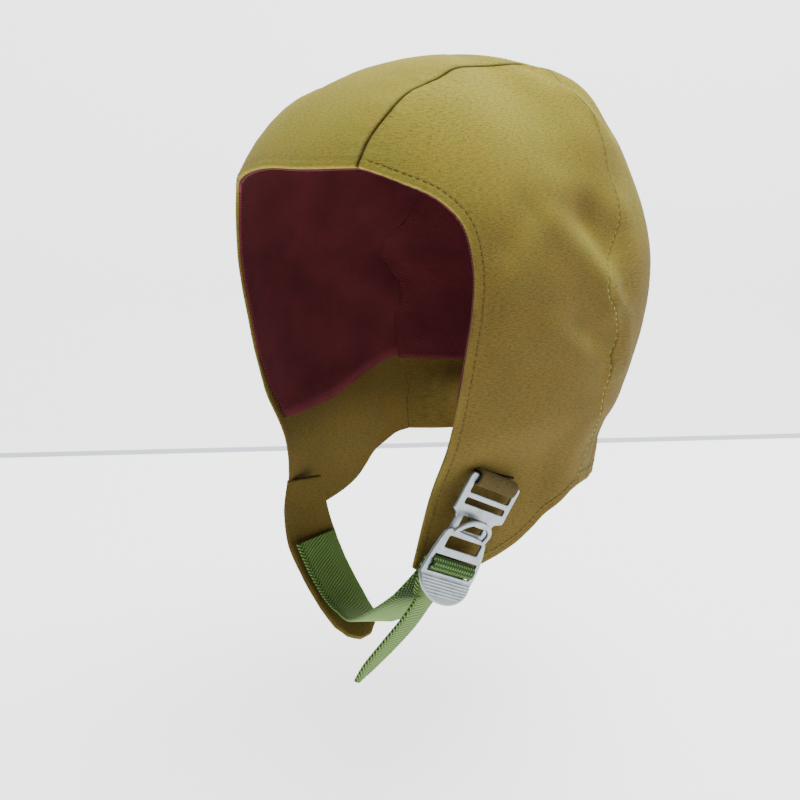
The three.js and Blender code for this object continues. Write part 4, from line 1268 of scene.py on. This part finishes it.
def webbing_weave(offset, length, halves, first, last):
    """Fine slanting ribs, a chevron selvedge on one side, and rows of dots at the bar."""
    from_edge = offset + halves
    slanting = waves(length + RIB_SLANT * offset + RIB_BEND * offset * np.abs(offset), RIB_STEP)
    chevron = waves(length + CHEVRON_SLANT * np.abs(from_edge - SELVEDGE * MM / 2), DOT_STEP[0])
    beside = smooth_step(SELVEDGE * MM, (SELVEDGE + 0.5) * MM, from_edge)
    calm = 0.3 + 0.7 * (1 - smooth_step(CALM_SPAN[0] * MM, CALM_SPAN[1] * MM, offset))
    ribs = 0.6 + (slanting - 0.5) * 0.8 * calm
    tone = chevron * (1 - beside) + ribs * beside
    rows = waves(length, DOT_STEP[0]) * waves(offset + RIB_SLANT * length, DOT_STEP[1])
    at_bar = smooth_step(first - BAR_FADE, first, length)
    at_bar = at_bar * (1 - smooth_step(last, last + BAR_FADE, length))
    tone = (0.15 + 0.85 * rows) * at_bar + tone * (1 - at_bar)
    # The tone is the weave's height, which the webbing's colour turns into painted shade in the
    # hollows
    return WEAVE_HEIGHT * (tone - 0.6), np.clip(tone, 0, 1)


def build_strap():
    rows = strap_rows()
    fine = 40
    *_, reach = ribbon_frames(rows, fine * (len(rows) - 1))
    before = len(TAB_STITCHED) + len(CHIN_RUN)
    first = reach[fine * (before - 1)]
    last = reach[fine * (before + len(BAR_WRAP) - 1)]
    weave = lambda offset, length, halves: webbing_weave(offset, length, halves, first, last)
    obj = ribbon_object("webbing_strap", rows, 440, 100, WEBBING_THICK * MM, weave)
    return finish_piece(obj, WEBBING, "webbing", "chin_strap")


def canvas_relief(offset, length, halves):
    wobble = 0.12 * MM * np.sin(length / (3.1 * MM)) * np.cos(offset / (4.3 * MM))
    return wobble, np.full(offset.shape, 0.5)


def build_chin_tab():
    rows = [(np.array(row[:3]) * MM, TAB_ACROSS, row[3] * MM) for row in TAB_ROUTE]
    obj = ribbon_object("chin_tab_canvas", rows, 90, 40, TAB_THICK * MM, canvas_relief)
    return finish_piece(obj, CANVAS_LEFT, "canvas", "right_side_panel")


LOOP_WALL = 1.3
LOOP_HALF = 12
LOOP_MIDDLE = 0.5
LOOP_ROUTE = [
    (2.2, -5), (2.8, -3), (3.1, -1.2), (2.9, 0.7), (1.6, 1.95), (-0.8, 2.05), (-2.4, 1.4),
    (-2.9, -0.2), (-2, -1.8), (0, -2.3),
]
SLIT_EDGE = ((-12.8, 2.6), (13.6, 5.2))
SLIT_STITCHES = (1.0, 1.25, 0.95)


def build_loop():
    turn, origin = UPPER_FRAME
    rows = [
        ((turn @ np.array([LOOP_MIDDLE, height, lift]) + origin) * MM, PLATE_ACROSS, LOOP_HALF * MM)
        for height, lift in LOOP_ROUTE
    ]
    obj = ribbon_object("canvas_loop", rows, 70, 48, LOOP_WALL * MM, canvas_relief)
    return finish_piece(obj, CANVAS_LOOP_SHADED, "canvas", "buckle_tab")


def build_slit_edge():
    """Near-black thread worked along the slit that the loop comes out of, its colour a painted
    shadow of the opening.
    """
    ends = [(x, y, -UPPER_LIFT) for x, y in SLIT_EDGE]
    places = at_places(np.linspace(0, 1, 200), (0, 1), ends)
    aims = unit(in_frame(UPPER_FRAME, places) - HEAD_CENTRE)
    stitch_object("slit_stitches", [stitch_row(aims, LEFT_SEWN, SLIT_STITCHES)], SLIT_SHADOW_THREAD)


def add_area_light(name, place, size, power):
    light = bpy.data.lights.new(name, "AREA")
    light.shape = "DISK"
    light.size = size
    light.energy = power
    obj = link(bpy.data.objects.new(name, light))
    obj.location = place
    aim = Vector(LIGHT_TARGET) - Vector(place)
    obj.rotation_euler = aim.to_track_quat("-Z", "Y").to_euler()


def picture_floor_spot(right, down):
    """The floor's point in metres seen at a place in the picture."""
    focus = PICTURE_SIZE * CAMERA_LENS / CAMERA_FILM
    across = (right - PICTURE_SIZE / 2) / focus
    below = (down - PICTURE_SIZE / 2) / focus
    tilt = math.radians(CAMERA_PITCH)
    ahead = math.cos(tilt) - below * math.sin(tilt)
    reach = (CAMERA_HEIGHT - FLOOR_HEIGHT) / (math.sin(tilt) + below * math.cos(tilt))
    eye, forward, sideways = camera_ways()
    return eye + forward * ahead * reach + sideways * across * reach


def add_sheet(name, corners, material):
    sheet = mesh_object(name, corners, [(0, 1, 2, 3)], smooth=False)
    sheet.data.materials.append(material)


def add_floor():
    """A pale table whose straight rear edge shows as a faint line behind the object."""
    ends = [picture_floor_spot(*spot) for spot in FLOOR_EDGE]
    run = unit(ends[1] - ends[0])
    away = np.array([-run[1], run[0]])
    middle = (ends[0] + ends[1]) / 2
    for name, (near, beyond, drop, glow, *shades) in FLOOR_SHEETS.items():
        corners = []
        for side, depth in ((-1, near), (1, near), (1, beyond), (-1, beyond)):
            spot = middle + run * side * FLOOR_HALF + away * depth * MM
            corners.append((*spot, FLOOR_HEIGHT - drop * MM))
        m = Nodes(name)
        pale = m.ramp(m.noise(m.space(), 400, 2), *zip((0.3, 0.7), shades))
        add_sheet(name, corners, m.finish(
            Base_Color=pale, Emission_Color=FLOOR_LIGHT, Emission_Strength=glow, Roughness=0.9,
        ))


def add_backdrop():
    """A lit wall well behind the floor's rear edge."""
    _, forward, sideways = camera_ways()
    corners = []
    for side, height in ((-1, "low"), (1, "low"), (1, "high"), (-1, "high")):
        spot = forward * BACKDROP["away"] + sideways * side * BACKDROP["half"]
        corners.append((*spot, BACKDROP[height]))
    m = Nodes("studio_wall")
    pale = m.ramp(m.noise(m.space(), 2, 1), *zip((0.3, 0.7), BACKDROP_SHADES))
    add_sheet("studio_wall", corners, m.finish(
        Emission_Color=pale, Emission_Strength=BACKDROP["glow"], Roughness=1.0,
    ))


def add_studio():
    world = bpy.data.worlds.new("studio")
    world.use_nodes = True
    background = world.node_tree.nodes["Background"]
    background.inputs["Color"].default_value = WORLD_COLOUR
    background.inputs["Strength"].default_value = WORLD_STRENGTH
    bpy.context.scene.world = world
    add_floor()
    add_backdrop()
    for name, softbox in SOFTBOXES.items():
        add_area_light(name, *softbox)


add_camera()
add_studio()
build_canvas()
build_stitches()
build_lining()
build_loop()
build_slit_edge()
build_upper_buckle()
build_lower_buckle()
build_strap()
build_chin_tab()
